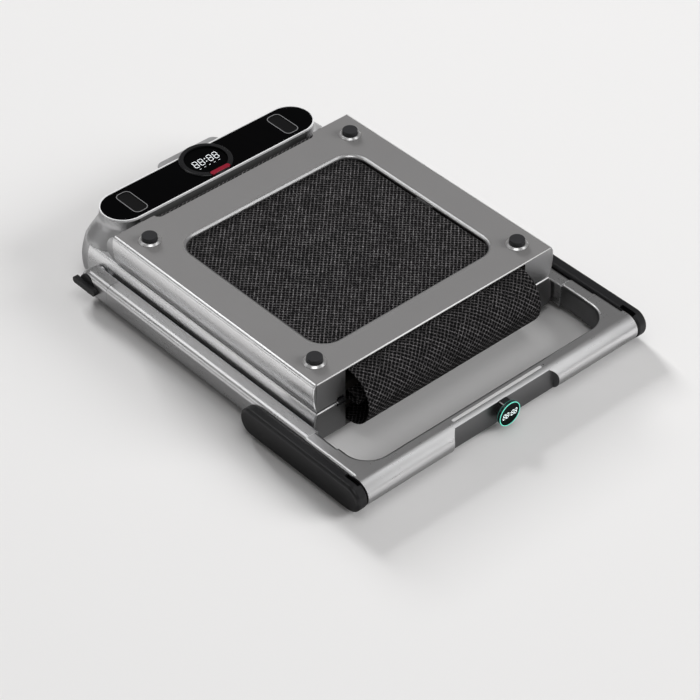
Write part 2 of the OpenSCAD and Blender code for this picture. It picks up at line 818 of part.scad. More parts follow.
// One rounded outline of the head, inset by a wall
corner_steps = 7;
function head_ring(z, inset) =
    let (x0 = head_front(z) + inset, x1 = panel_x1 - inset, y = head_half(z) - inset,
        r = min(head_corner(z) - inset, (x1 - x0) / 2 - 0.5))
    [for (c = [[x1 - r, y - r, 0], [x0 + r, y - r, 90], [x0 + r, r - y, 180], [x1 - r, r - y, 270]],
        i = [0 : corner_steps]) let (a = c[2] + 90 * i / corner_steps)
        [c[0] + r * cos(a), c[1] + r * sin(a)]];

module loft(levels, inset) {
    rings = [for (z = levels) head_ring(z, inset)];
    n = len(rings[0]);
    points = [for (k = [0 : len(levels) - 1], p = rings[k]) [p[0], p[1], levels[k]]];
    sides = [for (k = [0 : len(levels) - 2], i = [0 : n - 1])
        let (a = k * n + i, b = k * n + (i + 1) % n) each [[a, a + n, b], [b, a + n, b + n]]];
    ends = [[for (i = [0 : n - 1]) i], [for (i = [0 : n - 1]) (len(levels) * n - 1 - i)]];
    polyhedron(points, concat(sides, ends));
}

module stadium(grow, z0, z1) {
    translate([0, 0, z0]) linear_extrude(z1 - z0) {
        for (side = [-1, 1]) translate([panel_cx, side * panel_cy]) circle(panel_r + grow);
        translate([panel_x0 - grow, -panel_cy]) square([panel_w + 2 * grow, 2 * panel_cy]);
    }
}

module ring_room(grow) { translate([ring_x, 0, ring_z - cup_depth - 60]) cylinder(r = ring_r + grow, h = cup_depth + 70); }

module head_housing() {
    inner = concat([head_low_z - 2], [for (z = head_levels) if (z > head_low_z && z < cover_z - head_wall) z],
        [cover_z - head_wall]);
    color(silver) difference() {
        loft(head_levels, 0);
        loft(inner, head_wall);
        // the front rails run along the lower sides
        both() box([x_head - rail_reach - fit_gap, block_y + block_t + 1, head_low_z - 1],
            [x_head, rail_out + 5, z_low + fit_gap]);
        // slot over the belt, towards the deck
        box([panel_x1 - head_wall - 2, -block_y - block_t - 2, head_low_z - 1],
            [x_head, block_y + block_t + 2, z_low - 3]);
        // room for the display cup
        translate([ring_x, 0, ring_z - cup_depth - fit_gap]) cylinder(r = ring_r + fit_gap, h = cup_depth + 10);
        // openings for the mains inlet and the switch
        box([panel_x0 - head_swell - 2, inlet_y - inlet_w / 2, inlet_z - inlet_h / 2],
            [panel_x0 + 2, inlet_y + inlet_w / 2, inlet_z + inlet_h / 2]);
        box([panel_x0 - head_swell - 2, switch_y - switch_w / 2, inlet_z - switch_h / 2],
            [panel_x0 + 2, switch_y + switch_w / 2, inlet_z + switch_h / 2]);
    }
}

// Base cover with the motor cradle, the axle blocks and the ears of the transport wheels
module head_base() {
    z0 = foot_h + fit_gap;
    cradle_w = 10;
    ear_t = 4;
    ear_gap = wheel_w + 1;
    color(rubber) difference() {
        union() {
            box([panel_x0 + 2, -block_y - block_t, z0], [x_head - 3, block_y + block_t, z0 + base_t]);
            for (y = motor_cradles()) box([motor_x - 16, y - cradle_w / 2, z0], [motor_x + 16, y + cradle_w / 2, motor_z]);
            both() box([head_x - 14, block_y, z0], [head_x + 14, block_y + block_t, head_z + axle_d]);
            both() for (y = [wheel_y - ear_gap / 2 - ear_t, wheel_y + ear_gap / 2])
                box([wheel_x - 8, y, wheel_z - 6], [wheel_x + 8, y + ear_t, wheel_z + 8]);
            both() rod_y(wheel_x, wheel_z, wheel_axle_d / 2, wheel_y - ear_gap / 2 - 1, wheel_y + ear_gap / 2 + 1);
        }
        rod_y(motor_x, motor_z, motor_d / 2 + run_gap, -block_y, block_y);
        both() rod_y(head_x, head_z, axle_d / 2 + run_gap, block_y - 1, block_y + block_t + 1);
        // the wheels turn in openings in the cover
        both() difference() {
            box([wheel_x - wheel_d / 2 - 2, wheel_y - ear_gap / 2, z0 - 1],
                [wheel_x + wheel_d / 2 + 2, wheel_y + ear_gap / 2, z0 + base_t + 1]);
            rod_y(wheel_x, wheel_z, wheel_axle_d / 2, wheel_y - ear_gap, wheel_y + ear_gap);
        }
    }
}

function motor_y0() = -(pulley_y - 12);
function motor_cradles() = [motor_y0() + 34, motor_y0() + motor_len - 22];

module wheel() {
    rod = wheel_axle_d / 2 + run_gap;
    translate([wheel_x, wheel_y - wheel_w / 2, wheel_z]) rotate([-90, 0, 0]) rotate_extrude() difference() {
        translate([rod, 0]) square([wheel_d / 2 - rod, wheel_w]);
        // dished sides
        for (y = [0, wheel_w]) translate([rod + 2, y - 1]) square([wheel_d / 2 - rod - 5, 2]);
    }
}

module wheel_right() { color(black) wheel(); }
module wheel_left() { color(black) mirror([0, 1, 0]) wheel(); }

// Console: a glossy panel in a bright rim, with a pad at each end and the display between

module pad_outline(grow) {
    for (side = [-1, 1]) round_rect([panel_cx - pad_len / 2 - grow, side * pad_y - pad_w / 2 - grow],
        [panel_cx + pad_len / 2 + grow, side * pad_y + pad_w / 2 + grow], 9);
}

module console_panel() {
    color(black) difference() {
        stadium(-rim_w - fit_gap / 2, cover_z, panel_z);
        translate([0, 0, cover_z - 1]) linear_extrude(panel_t + 2) pad_outline(fit_gap);
        ring_room(fit_gap);
    }
}

module console_rim() {
    color(steel) difference() {
        stadium(0, cover_z, panel_z + rim_over);
        stadium(-rim_w, cover_z - 1, panel_z + rim_over + 1);
        ring_room(fit_gap);
    }
}

module console_pads() {
    color(rubber) translate([0, 0, cover_z]) linear_extrude(panel_t - 1) pad_outline(0);
}

module key_room(grow) {
    box([key_x - key_w / 2 - grow, -key_len / 2 - grow, key_z - grow],
        [key_x + key_w / 2 + grow, key_len / 2 + grow, ring_z + 1]);
}

module stem_room(grow) {
    box([key_x - stem_w / 2 - grow, -stem_l / 2 - grow, key_z - stem_h - grow],
        [key_x + stem_w / 2 + grow, stem_l / 2 + grow, ring_z + 1]);
}

// The ring is the top of a round cup, with a ledge inside that carries the glass
module display_ring() {
    edge = 3;
    bowl = 6;
    floor_t = 3;
    z0 = ring_z - cup_depth;
    color(black) difference() {
        translate([ring_x, 0, 0]) rotate_extrude($fn = 96) difference() {
            union() {
                translate([0, z0 + bowl]) square([ring_r, cup_depth - bowl - edge]);
                translate([0, z0]) square([ring_r - bowl, cup_depth]);
                translate([0, ring_z - edge - 1]) square([ring_r - edge, edge + 1]);
                intersection() {
                    translate([ring_r - bowl, z0 + bowl]) circle(bowl);
                    translate([0, z0]) square([ring_r, cup_depth]);
                }
                translate([ring_r - edge, ring_z - edge]) circle(edge);
            }
            translate([-1, glass_z - glass_t]) square([ring_r - ring_band + 1, cup_depth]);
            translate([-1, z0 + floor_t]) square([ring_r - ring_band - 1.5, cup_depth]);
        }
        key_room(fit_gap);
        stem_room(fit_gap);
    }
}

module display_glass() {
    color(black) difference() {
        translate([ring_x, 0, glass_z - glass_t]) cylinder(r = ring_r - ring_band - fit_gap, h = glass_t, $fn = 96);
        stem_room(fit_gap);
    }
}

// Safety key: a round-ended grip on a flat stem
module safety_key() {
    color("crimson") {
        translate([0, 0, key_z]) linear_extrude(key_h)
            round_rect([key_x - key_w / 2, -key_len / 2], [key_x + key_w / 2, key_len / 2], key_w / 2 - 0.2);
        box([key_x - stem_w / 2, -stem_l / 2, key_z - stem_h], [key_x + stem_w / 2, stem_l / 2, key_z + eps]);
    }
}

// Rear handle: a plate with a turned-down lip for the fingers, round the display cup
module rear_handle() {
    x0 = panel_x0 - handle_reach;
    r = 16;
    color(silver) difference() {
        union() {
            translate([0, 0, handle_z - handle_t]) linear_extrude(handle_t)
                round_rect([x0, -handle_w / 2], [panel_x0 + 20, handle_w / 2], r);
            difference() {
                translate([0, 0, handle_z - handle_lip]) linear_extrude(handle_lip)
                    round_rect([x0, -handle_w / 2], [panel_x0 + 20, handle_w / 2], r);
                translate([0, 0, handle_z - handle_lip - 1]) linear_extrude(handle_lip + 2)
                    round_rect([x0 + handle_t, -handle_w / 2 + handle_t],
                        [panel_x0 + 30, handle_w / 2 - handle_t], r - handle_t);
            }
        }
        ring_room(fit_gap);
        // the plate ends against the head's front wall
        loft(head_levels, -fit_gap / 3);
    }
}

// Drive: motor, its shaft and pulley, the ribbed belt, and the control board

module motor_case() {
    y0 = motor_y0();
    color(steel) difference() {
        union() {
            rod_y(motor_x, motor_z, motor_d / 2, y0, y0 + motor_len);
            // bearing caps at both ends
            rod_y(motor_x, motor_z, motor_d / 4, y0 - 3, y0 + motor_len + 3);
        }
        rod_y(motor_x, motor_z, 4 + run_gap, y0 - 4, y0 + motor_len + 4);
        // cooling slots round the case
        for (a = [0 : 45 : 315]) translate([motor_x, y0 + motor_len - 20, motor_z]) rotate([0, a, 0])
            translate([motor_d / 2 - 3, 0, -3]) cube([6, 14, 6]);
    }
}

module motor_shaft() {
    y0 = motor_y0();
    color(steel) {
        rod_y(motor_x, motor_z, 4, -pulley_y - drive_w - 2, y0 + motor_len + 8);
        rod_y(motor_x, motor_z, motor_pulley_d / 2, -pulley_y - drive_w, -pulley_y);
    }
}

module drive_belt() {
    gap = 0.3;
    reach_out = drive_t + gap;
    color(belt_black) translate([0, -pulley_y, 0]) rotate([90, 0, 0]) linear_extrude(drive_w) difference() {
        hull() {
            translate([head_x, head_z]) circle(roller_pulley_d / 2 + reach_out, $fn = 48);
            translate([motor_x, motor_z]) circle(motor_pulley_d / 2 + reach_out, $fn = 48);
        }
        hull() {
            translate([head_x, head_z]) circle(roller_pulley_d / 2 + gap, $fn = 48);
            translate([motor_x, motor_z]) circle(motor_pulley_d / 2 + gap, $fn = 48);
        }
    }
}

module control_board() {
    z0 = foot_h + fit_gap + base_t;
    x0 = panel_x0 + 12;
    x1 = panel_x1 - 32;
    y0 = 10;
    y1 = wheel_y - wheel_w / 2 - 20;
    fin = 2;
    color("seagreen") {
        for (x = [x0 + 4, x1 - 4], y = [y0 + 4, y1 - 4]) translate([x, y, z0]) cylinder(d = 6, h = 6);
        box([x0, y0, z0 + 6 - eps], [x1, y1, z0 + 8]);
        // heat sink with fins
        box([x0 + 4, y0 + 10, z0 + 8 - eps], [x1 - 4, y0 + 50, z0 + 12]);
        for (i = [0 : 6]) box([x0 + 4 + i * 5, y0 + 10, z0 + 12 - eps], [x0 + 4 + i * 5 + fin, y0 + 50, z0 + 34]);
        // smoothing capacitors
        for (i = [0, 1]) translate([x0 + 16, y0 + 72 + i * 30, z0 + 8 - eps]) cylinder(d = 24, h = 36);
    }
}

// A block on the switch's opening, grown by grow, from out in front of the wall to deep inside
module switch_box(grow, out, deep) {
    box([switch_x - 7 - out, switch_y - switch_w / 2 - grow, inlet_z - switch_h / 2 - grow],
        [switch_x - 7 + deep, switch_y + switch_w / 2 + grow, inlet_z + switch_h / 2 + grow]);
}

// Mains socket with its three contacts
module power_inlet() {
    x0 = head_front(inlet_z) - 1;
    color(black) difference() {
        box([x0, inlet_y - inlet_w / 2 + fit_gap, inlet_z - inlet_h / 2 + fit_gap],
            [x0 + 24, inlet_y + inlet_w / 2 - fit_gap, inlet_z + inlet_h / 2 - fit_gap]);
        box([x0 - 1, inlet_y - inlet_w / 2 + 3, inlet_z - inlet_h / 2 + 3],
            [x0 + 18, inlet_y + inlet_w / 2 - 3, inlet_z + inlet_h / 2 - 3]);
    }
    // frame of the switch, with bores for the rocker's pins
    color(black) difference() {
        switch_box(-fit_gap, 0.5, 13);
        switch_box(-switch_wall + fit_gap, 2, 11);
        rod_y(switch_x, inlet_z, switch_pin_r + run_gap, switch_y - switch_w / 2 + 1.5, switch_y + switch_w / 2 - 1.5);
    }
    color(steel) for (y = [-6, 0, 6])
        box([x0 + 4, inlet_y + y - 1, inlet_z - 3], [x0 + 18 + eps, inlet_y + y + 1, inlet_z + 2]);
}

// Rocker of the mains switch: a block with two sloping faces on a pin along Y
module power_switch() {
    long = switch_w - 2 * switch_wall;
    high = switch_h / 2 - switch_wall;
    color(black) {
        rod_y(switch_x, inlet_z, switch_pin_r, switch_y - long / 2 - 0.7, switch_y + long / 2 + 0.7);
        translate([switch_x, switch_y + long / 2, inlet_z]) rotate([90, 0, 0]) linear_extrude(long)
            polygon([[0, -high], [-7, 0.5 - high], [-5.5, 0], [-8.5, high - 1], [0, high]]);
    }
}

// Handrail: two tubes that lie along the deck, joined by a cast cross member

// The tube's outline: small corners on the deck's side, broad ones outside
module post_outline(shrink) {
    low = post_z - post_h / 2 + shrink;
    high = post_h - 2 * shrink;
    across = post_w - 2 * shrink;
    r_in = max(0.3, post_r_in - shrink);
    r_out = post_r - shrink;
    translate([post_in + shrink, low]) {
        translate([r_in, 0]) square([across - r_in - r_out, high]);
        translate([0, r_in]) square([across / 2, high - 2 * r_in]);
        translate([across / 2, r_out]) square([across / 2, high - 2 * r_out]);
        for (z = [r_in, high - r_in]) translate([r_in, z]) circle(r_in);
        for (z = [r_out, high - r_out]) translate([across - r_out, z]) circle(r_out);
    }
}

// Round end of a tube, turned about the pivot from half of its outline
module post_end() {
    translate([pivot_x, 0, post_z]) rotate([-90, 0, 0]) rotate_extrude($fn = 96) intersection() {
        translate([0, post_in]) square([post_h, post_w]);
        mirror([1, -1]) translate([0, -post_z]) post_outline(0);
    }
}

module posts() {
    color(silver) both() difference() {
        union() {
            along_x(pivot_x, x_seam) post_outline(0);
            post_end();
        }
        along_x(pivot_x + post_h, x_seam + 1) post_outline(post_wall);
        rod_y(pivot_x, post_z, pivot_d / 2 + run_gap, post_in - 1, post_out + 1);
        // seat for the lock knob's hub
        rod_y(pivot_x, post_z, knob_d / 2 + 0.4, post_out - knob_sink, post_out + 1);
        // seam round the tube where its end piece begins
        along_x(pivot_x + end_len - 0.4, pivot_x + end_len + 0.4) difference() {
            post_outline(-1);
            post_outline(0.6);
        }
    }
}

// Pivot bosses on the head's sides, each with a pin into a handrail tube, short of the knob's stub
module handrail_pivots() {
    color(steel) both() {
        rod_y(pivot_x, post_z, boss_d / 2, rail_out + fit_gap / 2, post_in - fit_gap);
        rod_y(pivot_x, post_z, pivot_d / 2 + 3, rail_out - rail_wall - 3, rail_out + fit_gap);
        rod_y(pivot_x, post_z, boss_d / 2 - 8.5, rail_out - rail_wall - 7, rail_out - rail_wall - 2);
        rod_y(pivot_x, post_z, pivot_d / 2, post_in - 1, stub_y - 3 * fit_gap);
    }
}

// Side view of the cross member: flat top and bottom, then a half-round nose
module nose_profile() {
    r = bail_edge_r;
    translate([bail_in + r, post_z - bail_h / 2]) square([bail_flat - r, bail_h]);
    translate([bail_in, post_z - bail_h / 2 + r]) square([bail_flat, bail_h - 2 * r]);
    for (side = [-1, 1]) translate([bail_in + r, post_z + side * (bail_h / 2 - r)]) circle(r);
    intersection() {
        translate([bail_cx, post_z]) circle(r = bail_h / 2, $fn = 96);
        translate([bail_cx, post_z - bail_h]) square([bail_h, 2 * bail_h]);
    }
}

// Round inner corner between a root and the cross member, with the same rolled edges
module corner_cut() {
    r = bail_edge_r;
    translate([bail_in - bail_r, root_in - bail_r, post_z]) rotate_extrude($fn = 96) difference() {
        translate([0, -bail_h / 2 - 1]) square([bail_r + r, bail_h + 2]);
        for (side = [-1, 1]) translate([bail_r + r, side * (bail_h / 2 - r)]) circle(r);
        translate([bail_r, r - bail_h / 2]) square([r + 1, bail_h - 2 * r]);
    }
}

module bail() {
    spigot = 24;
    low = post_z - bail_h / 2;
    high = post_z + bail_h / 2;
    color(silver) difference() {
        union() {
            translate([0, root_out, 0]) rotate([90, 0, 0]) linear_extrude(2 * root_out) nose_profile();
            both() {
                along_x(x_seam + 0.5, bail_in + 5) round_rect([post_in + 3, post_z - post_h / 2],
                    [post_out, post_z + post_h / 2], bail_edge_r);
                along_x(x_seam - spigot, x_seam + 1) post_outline(post_wall + fit_gap / 2);
                // thicker root at the armrest pivot
                along_x(bail_in - root_len, bail_in + bail_edge_r + 1)
                    round_rect([root_in, low], [root_out, high], bail_edge_r);
                // web that carries the inner corner round
                difference() {
                    box([bail_in - bail_r, root_in - bail_r, low],
                        [bail_in + bail_edge_r + 1, root_in + bail_edge_r + 1, high]);
                    corner_cut();
                }
            }
        }
        // recess in the nose, with round corners at its ends
        translate([recess_x, 0, 0]) rotate([90, 0, 90]) linear_extrude(bail_h)
            round_rect([-recess_y, post_z - bail_h], [recess_y, high - 1.5], recess_r);
        both() rod_y(bail_cx, post_z, arm_pin_d / 2 + run_gap, post_out - 24, root_out + 1);
        // seat for the trim strip, and the small mark at its end
        translate([0, 0, high - 1.2]) linear_extrude(2) trim_outline(0.7);
        translate([bail_cx - 1.5, trim_y + 5, high - 1.5]) cylinder(r = 1.6, h = 3);
    }
}

module trim_outline(grow) {
    round_rect([bail_cx - 4.5 - grow, -trim_y - grow], [bail_cx + 1.5 + grow, trim_y + grow], 2.9 + grow);
}

module bail_trim() {
    color(steel) translate([0, 0, post_z + bail_h / 2 - 1.2]) linear_extrude(1.7) trim_outline(0);
}

// Handrail display: an arm out of the recess, a cup with a bright ring, and its glass
module pod_body() {
    x1 = nose_x + pod_out - 1;
    color(black) {
        rod_x(0, pod_z, pod_d / 2 - pod_rim, x1 - pod_t, x1);
        rod_x(0, pod_z, pod_d / 2 - 9, recess_x, x1 - pod_t + eps);
        box([recess_x, -8, post_z + 8], [x1 - pod_t + 2, 8, post_z + pod_d / 2]);
    }
}

module pod_ring() {
    x1 = nose_x + pod_out;
    color("paleturquoise") difference() {
        rod_x(0, pod_z, pod_d / 2, x1 - pod_t + 1, x1);
        rod_x(0, pod_z, pod_d / 2 - pod_rim + run_gap, x1 - pod_t, x1 + 1);
    }
}

module pod_glass() {
    x1 = nose_x + pod_out;
    color(black) rod_x(0, pod_z, pod_d / 2 - pod_rim, x1 - 1, x1 - 0.3);
}

module armrest_pins() {
    color(steel) both() rod_y(bail_cx, post_z, arm_pin_d / 2, post_out - 24, arm_out - 6);
}

// Armrests: a long grip with round ends and edges, hinged at the cross member

module arm_outline() {
    round_rect([arm_in, post_z - arm_h / 2], [arm_out, post_z + arm_h / 2], arm_r);
}

module arm_end(x) {
    translate([x, 0, post_z]) rotate([-90, 0, 0]) rotate_extrude($fn = 96) intersection() {
        translate([0, arm_in]) square([arm_h, arm_t]);
        mirror([1, -1]) translate([0, -post_z]) arm_outline();
    }
}

module armrest() {
    x_free = bail_cx + arm_h - arm_len;
    difference() {
        union() {
            along_x(x_free, bail_cx) arm_outline();
            arm_end(x_free);
            arm_end(bail_cx);
        }
        rod_y(bail_cx, post_z, arm_pin_d / 2 + run_gap, arm_in - 1, arm_out - 5.5);
        // pocket over the pivot
        box([bail_cx - 22, arm_in + 2, post_z + arm_h / 2 - 11],
            [bail_cx + 10, arm_in + 10, post_z + arm_h / 2 + 1]);
    }
}

module armrest_right() { color(rubber) armrest(); }
module armrest_left() { color(rubber) mirror([0, 1, 0]) armrest(); }

// Lock knobs: a round hub and a long paddle, on a stub that turns in the end of a handrail tube
module knob() {
    r = paddle_h / 2;
    rod_y(pivot_x, post_z, pivot_d / 2, stub_y, hub_y0 + eps);
    rod_y(pivot_x, post_z, knob_d / 2, hub_y0, hub_y1);
    translate([pivot_x, hub_y1 + paddle_t, post_z]) rotate([90, 0, 0]) linear_extrude(paddle_t + eps)
        round_rect([-paddle_len / 2, -r], [paddle_len / 2, r], r - 1);
}

module knob_right() { color(black) knob(); }
module knob_left() { color(black) mirror([0, 1, 0]) knob(); }

front_rails();
front_plate();
front_board();
front_cushions();
front_cross_bars();
front_foot_cups();
front_feet();
front_end_caps();
front_hinge_leaves();
hinge_pins();
belt_front();
belt_fold_outer();
belt_fold_inner();
head_housing();
head_base();
console_panel();
console_rim();
console_pads();
display_ring();
display_glass();
rear_handle();
motor_case();
control_board();
front_axle();
drive_belt();
power_inlet();
handrail_pivots();
front_roller();
front_pulley();
front_bearings();
motor_shaft();
power_switch();
wheel_left();
wheel_right();
rear_rails();
rear_plate();
rear_board();
rear_cushions();
rear_cross_bars();
rear_foot_cups();
rear_feet();
rear_end_caps();
rear_hinge_leaves();
belt_rear();
rear_axle();
rear_adjusters();
rear_roller();
rear_bearings();
posts();
bail();
bail_trim();
pod_body();
pod_ring();
pod_glass();
armrest_pins();
armrest_left();
armrest_right();
knob_left();
knob_right();
safety_key();
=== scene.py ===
"""Looks of a folding walking pad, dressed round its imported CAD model.

The deck lies folded on itself, with the motor head at -X and the fold of the belt at +X, and the
handrail lies flat round it. All lengths are in metres, in the CAD model's frame.
"""

import json
import logging
import math
from dataclasses import dataclass, field
from enum import Enum
from typing import Callable, Dict, List, Optional, Sequence, Tuple

import bmesh
import bpy
from mathutils import Matrix, Vector


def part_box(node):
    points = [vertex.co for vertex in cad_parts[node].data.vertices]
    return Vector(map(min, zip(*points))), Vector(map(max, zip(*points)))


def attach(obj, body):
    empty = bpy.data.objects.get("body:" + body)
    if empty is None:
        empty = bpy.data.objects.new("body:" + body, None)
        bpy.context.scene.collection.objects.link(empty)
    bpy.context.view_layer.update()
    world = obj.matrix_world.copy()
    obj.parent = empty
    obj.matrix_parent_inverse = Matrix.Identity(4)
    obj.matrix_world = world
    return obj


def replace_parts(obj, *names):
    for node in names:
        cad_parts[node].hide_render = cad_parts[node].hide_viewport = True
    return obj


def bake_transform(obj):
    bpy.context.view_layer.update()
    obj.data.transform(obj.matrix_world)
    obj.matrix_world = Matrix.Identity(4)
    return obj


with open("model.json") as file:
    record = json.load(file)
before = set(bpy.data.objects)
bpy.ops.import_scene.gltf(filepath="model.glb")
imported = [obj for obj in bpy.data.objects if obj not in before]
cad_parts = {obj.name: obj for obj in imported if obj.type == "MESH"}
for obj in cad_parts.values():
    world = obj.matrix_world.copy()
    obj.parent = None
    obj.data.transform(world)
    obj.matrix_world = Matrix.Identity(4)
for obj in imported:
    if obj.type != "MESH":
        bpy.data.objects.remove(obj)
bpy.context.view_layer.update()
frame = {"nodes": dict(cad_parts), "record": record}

LOG = logging.getLogger("walking_pad")
MM = 0.001
MERGE = 0.002 * MM  # points closer than this are one
FLAT = 0.5  # faces within this many degrees of each other are one flat face
SHARP = 35.0  # edges sharper than this many degrees stay sharp in the shading
FACE_WEIGHT = 80  # how strongly the larger faces lead the shading
Color = Tuple[float, float, float]
Pair = Tuple[float, float]
Socket = bpy.types.NodeSocket
FaceTest = Callable[[Vector, Vector], bool]


class Pattern(Enum):
    """Where a material takes its pattern's coordinates from."""

    OBJECT = "Object"
    UV = "UV"


class Use(Enum):
    """What a lamp is for: whether it lights matt surfaces, and whether metal mirrors it."""

    LIGHT = (True, False)
    CARD = (False, True)


class Segment(Enum):
    """The seven bars of a digit: centre across, centre up, and whether the bar lies flat."""

    TOP = (0.0, 1.0, True)
    MIDDLE = (0.0, 0.0, True)
    BOTTOM = (0.0, -1.0, True)
    UPPER_LEFT = (-1.0, 0.5, False)
    UPPER_RIGHT = (1.0, 0.5, False)
    LOWER_LEFT = (-1.0, -0.5, False)
    LOWER_RIGHT = (1.0, -0.5, False)


# Materials


class Graph:
    """A material's nodes, with short ways to add and join them."""

    def __init__(self, name: str) -> None:
        """Starts an empty material.

        Args:
            name: The material's name.
        """
        self.material = bpy.data.materials.new(name)
        self.material.use_nodes = True
        self.nodes = self.material.node_tree.nodes
        self.links = self.material.node_tree.links
        self.shader = self.nodes["Principled BSDF"]

    def add(self, kind: str, sockets: Optional[Dict[object, object]] = None,
            **settings: object) -> bpy.types.Node:
        """Adds a node.

        Args:
            kind: The node's type without its ShaderNode prefix.
            sockets: Values or outputs for its inputs, by name or place.
            **settings: Settings of the node itself.

        Returns:
            The new node.
        """
        node = self.nodes.new("ShaderNode" + kind)
        for key, value in settings.items():
            setattr(node, key, value)
        for key, value in (sockets or {}).items():
            if isinstance(value, Socket):
                self.links.new(value, node.inputs[key])
            else:
                node.inputs[key].default_value = value
        return node

    def place(self, source: Pattern, scale: Sequence[float] = (1, 1, 1)) -> Socket:
        """Gives pattern coordinates in metres, scaled along each axis."""
        read = self.add("TexCoord").outputs[source.value]
        return self.add("Mapping", {"Vector": read, "Scale": scale}).outputs[0]

    def noise(self, where: Socket, scale: float, detail: float = 3.0) -> Socket:
        """Gives a noise value from 0 to 1 at these coordinates."""
        return self.add("TexNoise", {"Vector": where, "Scale": scale, "Detail": detail}).outputs[0]

    def span(self, value: Socket, source: Pair, target: Pair) -> Socket:
        """Maps a value's range to another, clamped.

        Args:
            value: The value.
            source: Its lowest and highest that count.
            target: What they become.

        Returns:
            The mapped value.
        """
        sockets = {0: value, 1: source[0], 2: source[1], 3: target[0], 4: target[1]}
        return self.add("MapRange", sockets).outputs[0]

    def sum(self, operation: str, a: object, b: object = 0.0) -> Socket:
        """Joins two values with a Math operation."""
        return self.add("Math", {0: a, 1: b}, operation=operation).outputs[0]

    def blend(self, share: Socket, low: Color, high: Color) -> Socket:
        """Mixes two colours by a share from 0 to 1."""
        sockets = {0: share, 6: (*low, 1), 7: (*high, 1)}
        return self.add("Mix", sockets, data_type="RGBA").outputs[2]

    def relief(self, height: Socket, depth: float) -> Socket:
        """Turns a height from 0 to 1 into a bump of a real depth in metres."""
        return self.add("Bump", {"Height": height, "Distance": depth, "Strength": 1.0}).outputs[0]

    def set(self, **values: object) -> None:
        """Sets or links the shader's own sockets.

        Args:
            **values: What each socket gets, under its name with _ for a space.
        """
        for key, value in values.items():
            socket = self.shader.inputs[key.replace("_", " ")]
            if isinstance(value, Socket):
                self.links.new(value, socket)
            else:
                socket.default_value = (*value, 1) if isinstance(value, tuple) and len(value) == 3 else value


def shade(color: Color, factor: float) -> Color:
    """Gives a colour made darker or lighter by a factor."""
    return tuple(min(1.0, c * factor) for c in color)


@dataclass(frozen=True)
class SatinMetal:
    """Blasted and anodised metal: an even grain, with faint streaks along one axis."""

    name: str
    color: Color
    roughness: float
    streak: Tuple[float, float, float] = (6, 60, 60)
    spread: float = 0.06
    metallic: float = 1.0
    grain: float = 18e-6
    grain_scale: float = 2400.0
    blast_scale: float = 520.0
    speckle: float = 0.22
    streak_share: float = 0.6
    wear: float = 0.04

    def build(self) -> bpy.types.Material:
        """Builds the finish.

        Returns:
            The finished material.
        """
        g = Graph(self.name)
        where = g.place(Pattern.OBJECT)
        streaks = g.noise(g.place(Pattern.OBJECT, self.streak), 4.0, 5.0)
        cloud = g.noise(where, 9.0, 2.0)
        grain = g.noise(where, self.grain_scale, 2.0)
        blast = g.noise(where, self.blast_scale, 3.0)
        base = g.sum("ADD", g.sum("MULTIPLY", streaks, self.streak_share),
                     g.sum("MULTIPLY", cloud, 1 - self.streak_share))
        tone = g.sum("ADD", base, g.sum("MULTIPLY", g.sum("SUBTRACT", blast, 0.5), self.speckle * 4))
        g.set(
            Base_Color=g.blend(tone, shade(self.color, 1 - self.spread), shade(self.color, 1 + self.spread)),
            Roughness=g.span(tone, (0.3, 0.7), (self.roughness - self.wear, self.roughness + self.wear)),
            Metallic=self.metallic,
            Normal=g.relief(grain, self.grain),
        )
        return g.material


@dataclass(frozen=True)
class Moulded:
    """Moulded plastic or rubber with a fine spark-eroded grain."""

    name: str
    color: Color
    roughness: float
    grain_scale: float = 1500.0
    grain_depth: float = 20e-6
    coat: float = 0.0
    coat_roughness: float = 0.08
    spread: float = 0.12
    gloss: float = 0.5
    wear: float = 0.05

    def build(self) -> bpy.types.Material:
        """Builds the finish.

        Returns:
            The finished material.
        """
        g = Graph(self.name)
        grain = g.noise(g.place(Pattern.OBJECT), self.grain_scale, 2.0)
        cloud = g.noise(g.place(Pattern.OBJECT), 14.0, 4.0)
        g.set(
            Base_Color=g.blend(cloud, shade(self.color, 1 - self.spread), shade(self.color, 1 + self.spread)),
            Roughness=g.span(cloud, (0.3, 0.7), (self.roughness - self.wear, self.roughness + self.wear)),
            Normal=g.relief(grain, self.grain_depth),
            Specular_IOR_Level=self.gloss,
            Coat_Weight=self.coat,
            Coat_Roughness=self.coat_roughness,
        )
        return g.material


@dataclass(frozen=True)
class BlackGloss:
    """A glossy black panel with the faintest wipe haze."""

    name: str
    color: Color
    roughness: float = 0.05
    wear: float = 0.05
    gloss: float = 0.035

    def build(self) -> bpy.types.Material:
        """Builds the finish.

        Returns:
            The finished material.
        """
        g = Graph(self.name)
        haze = g.noise(g.place(Pattern.OBJECT, (8, 20, 8)), 3.0, 4.0)
        g.set(
            Base_Color=g.blend(haze, shade(self.color, 0.7), shade(self.color, 1.3)),
            Roughness=g.span(haze, (0.3, 0.8), (self.roughness, self.roughness + self.wear)),
            Specular_IOR_Level=self.gloss,
        )
        return g.material


@dataclass(frozen=True)
class Glow:
    """A lit display element under its cover."""

    name: str
    color: Color
    strength: float

    def build(self) -> bpy.types.Material:
        """Builds the finish.

        Returns:
            The finished material.
        """
        g = Graph(self.name)
        fleck = g.noise(g.place(Pattern.OBJECT), 700.0, 1.0)
        g.set(
            Base_Color=g.blend(fleck, shade(self.color, 0.85), self.color),
            Emission_Color=self.color,
            Emission_Strength=self.strength,
            Roughness=0.4,
        )
        return g.material


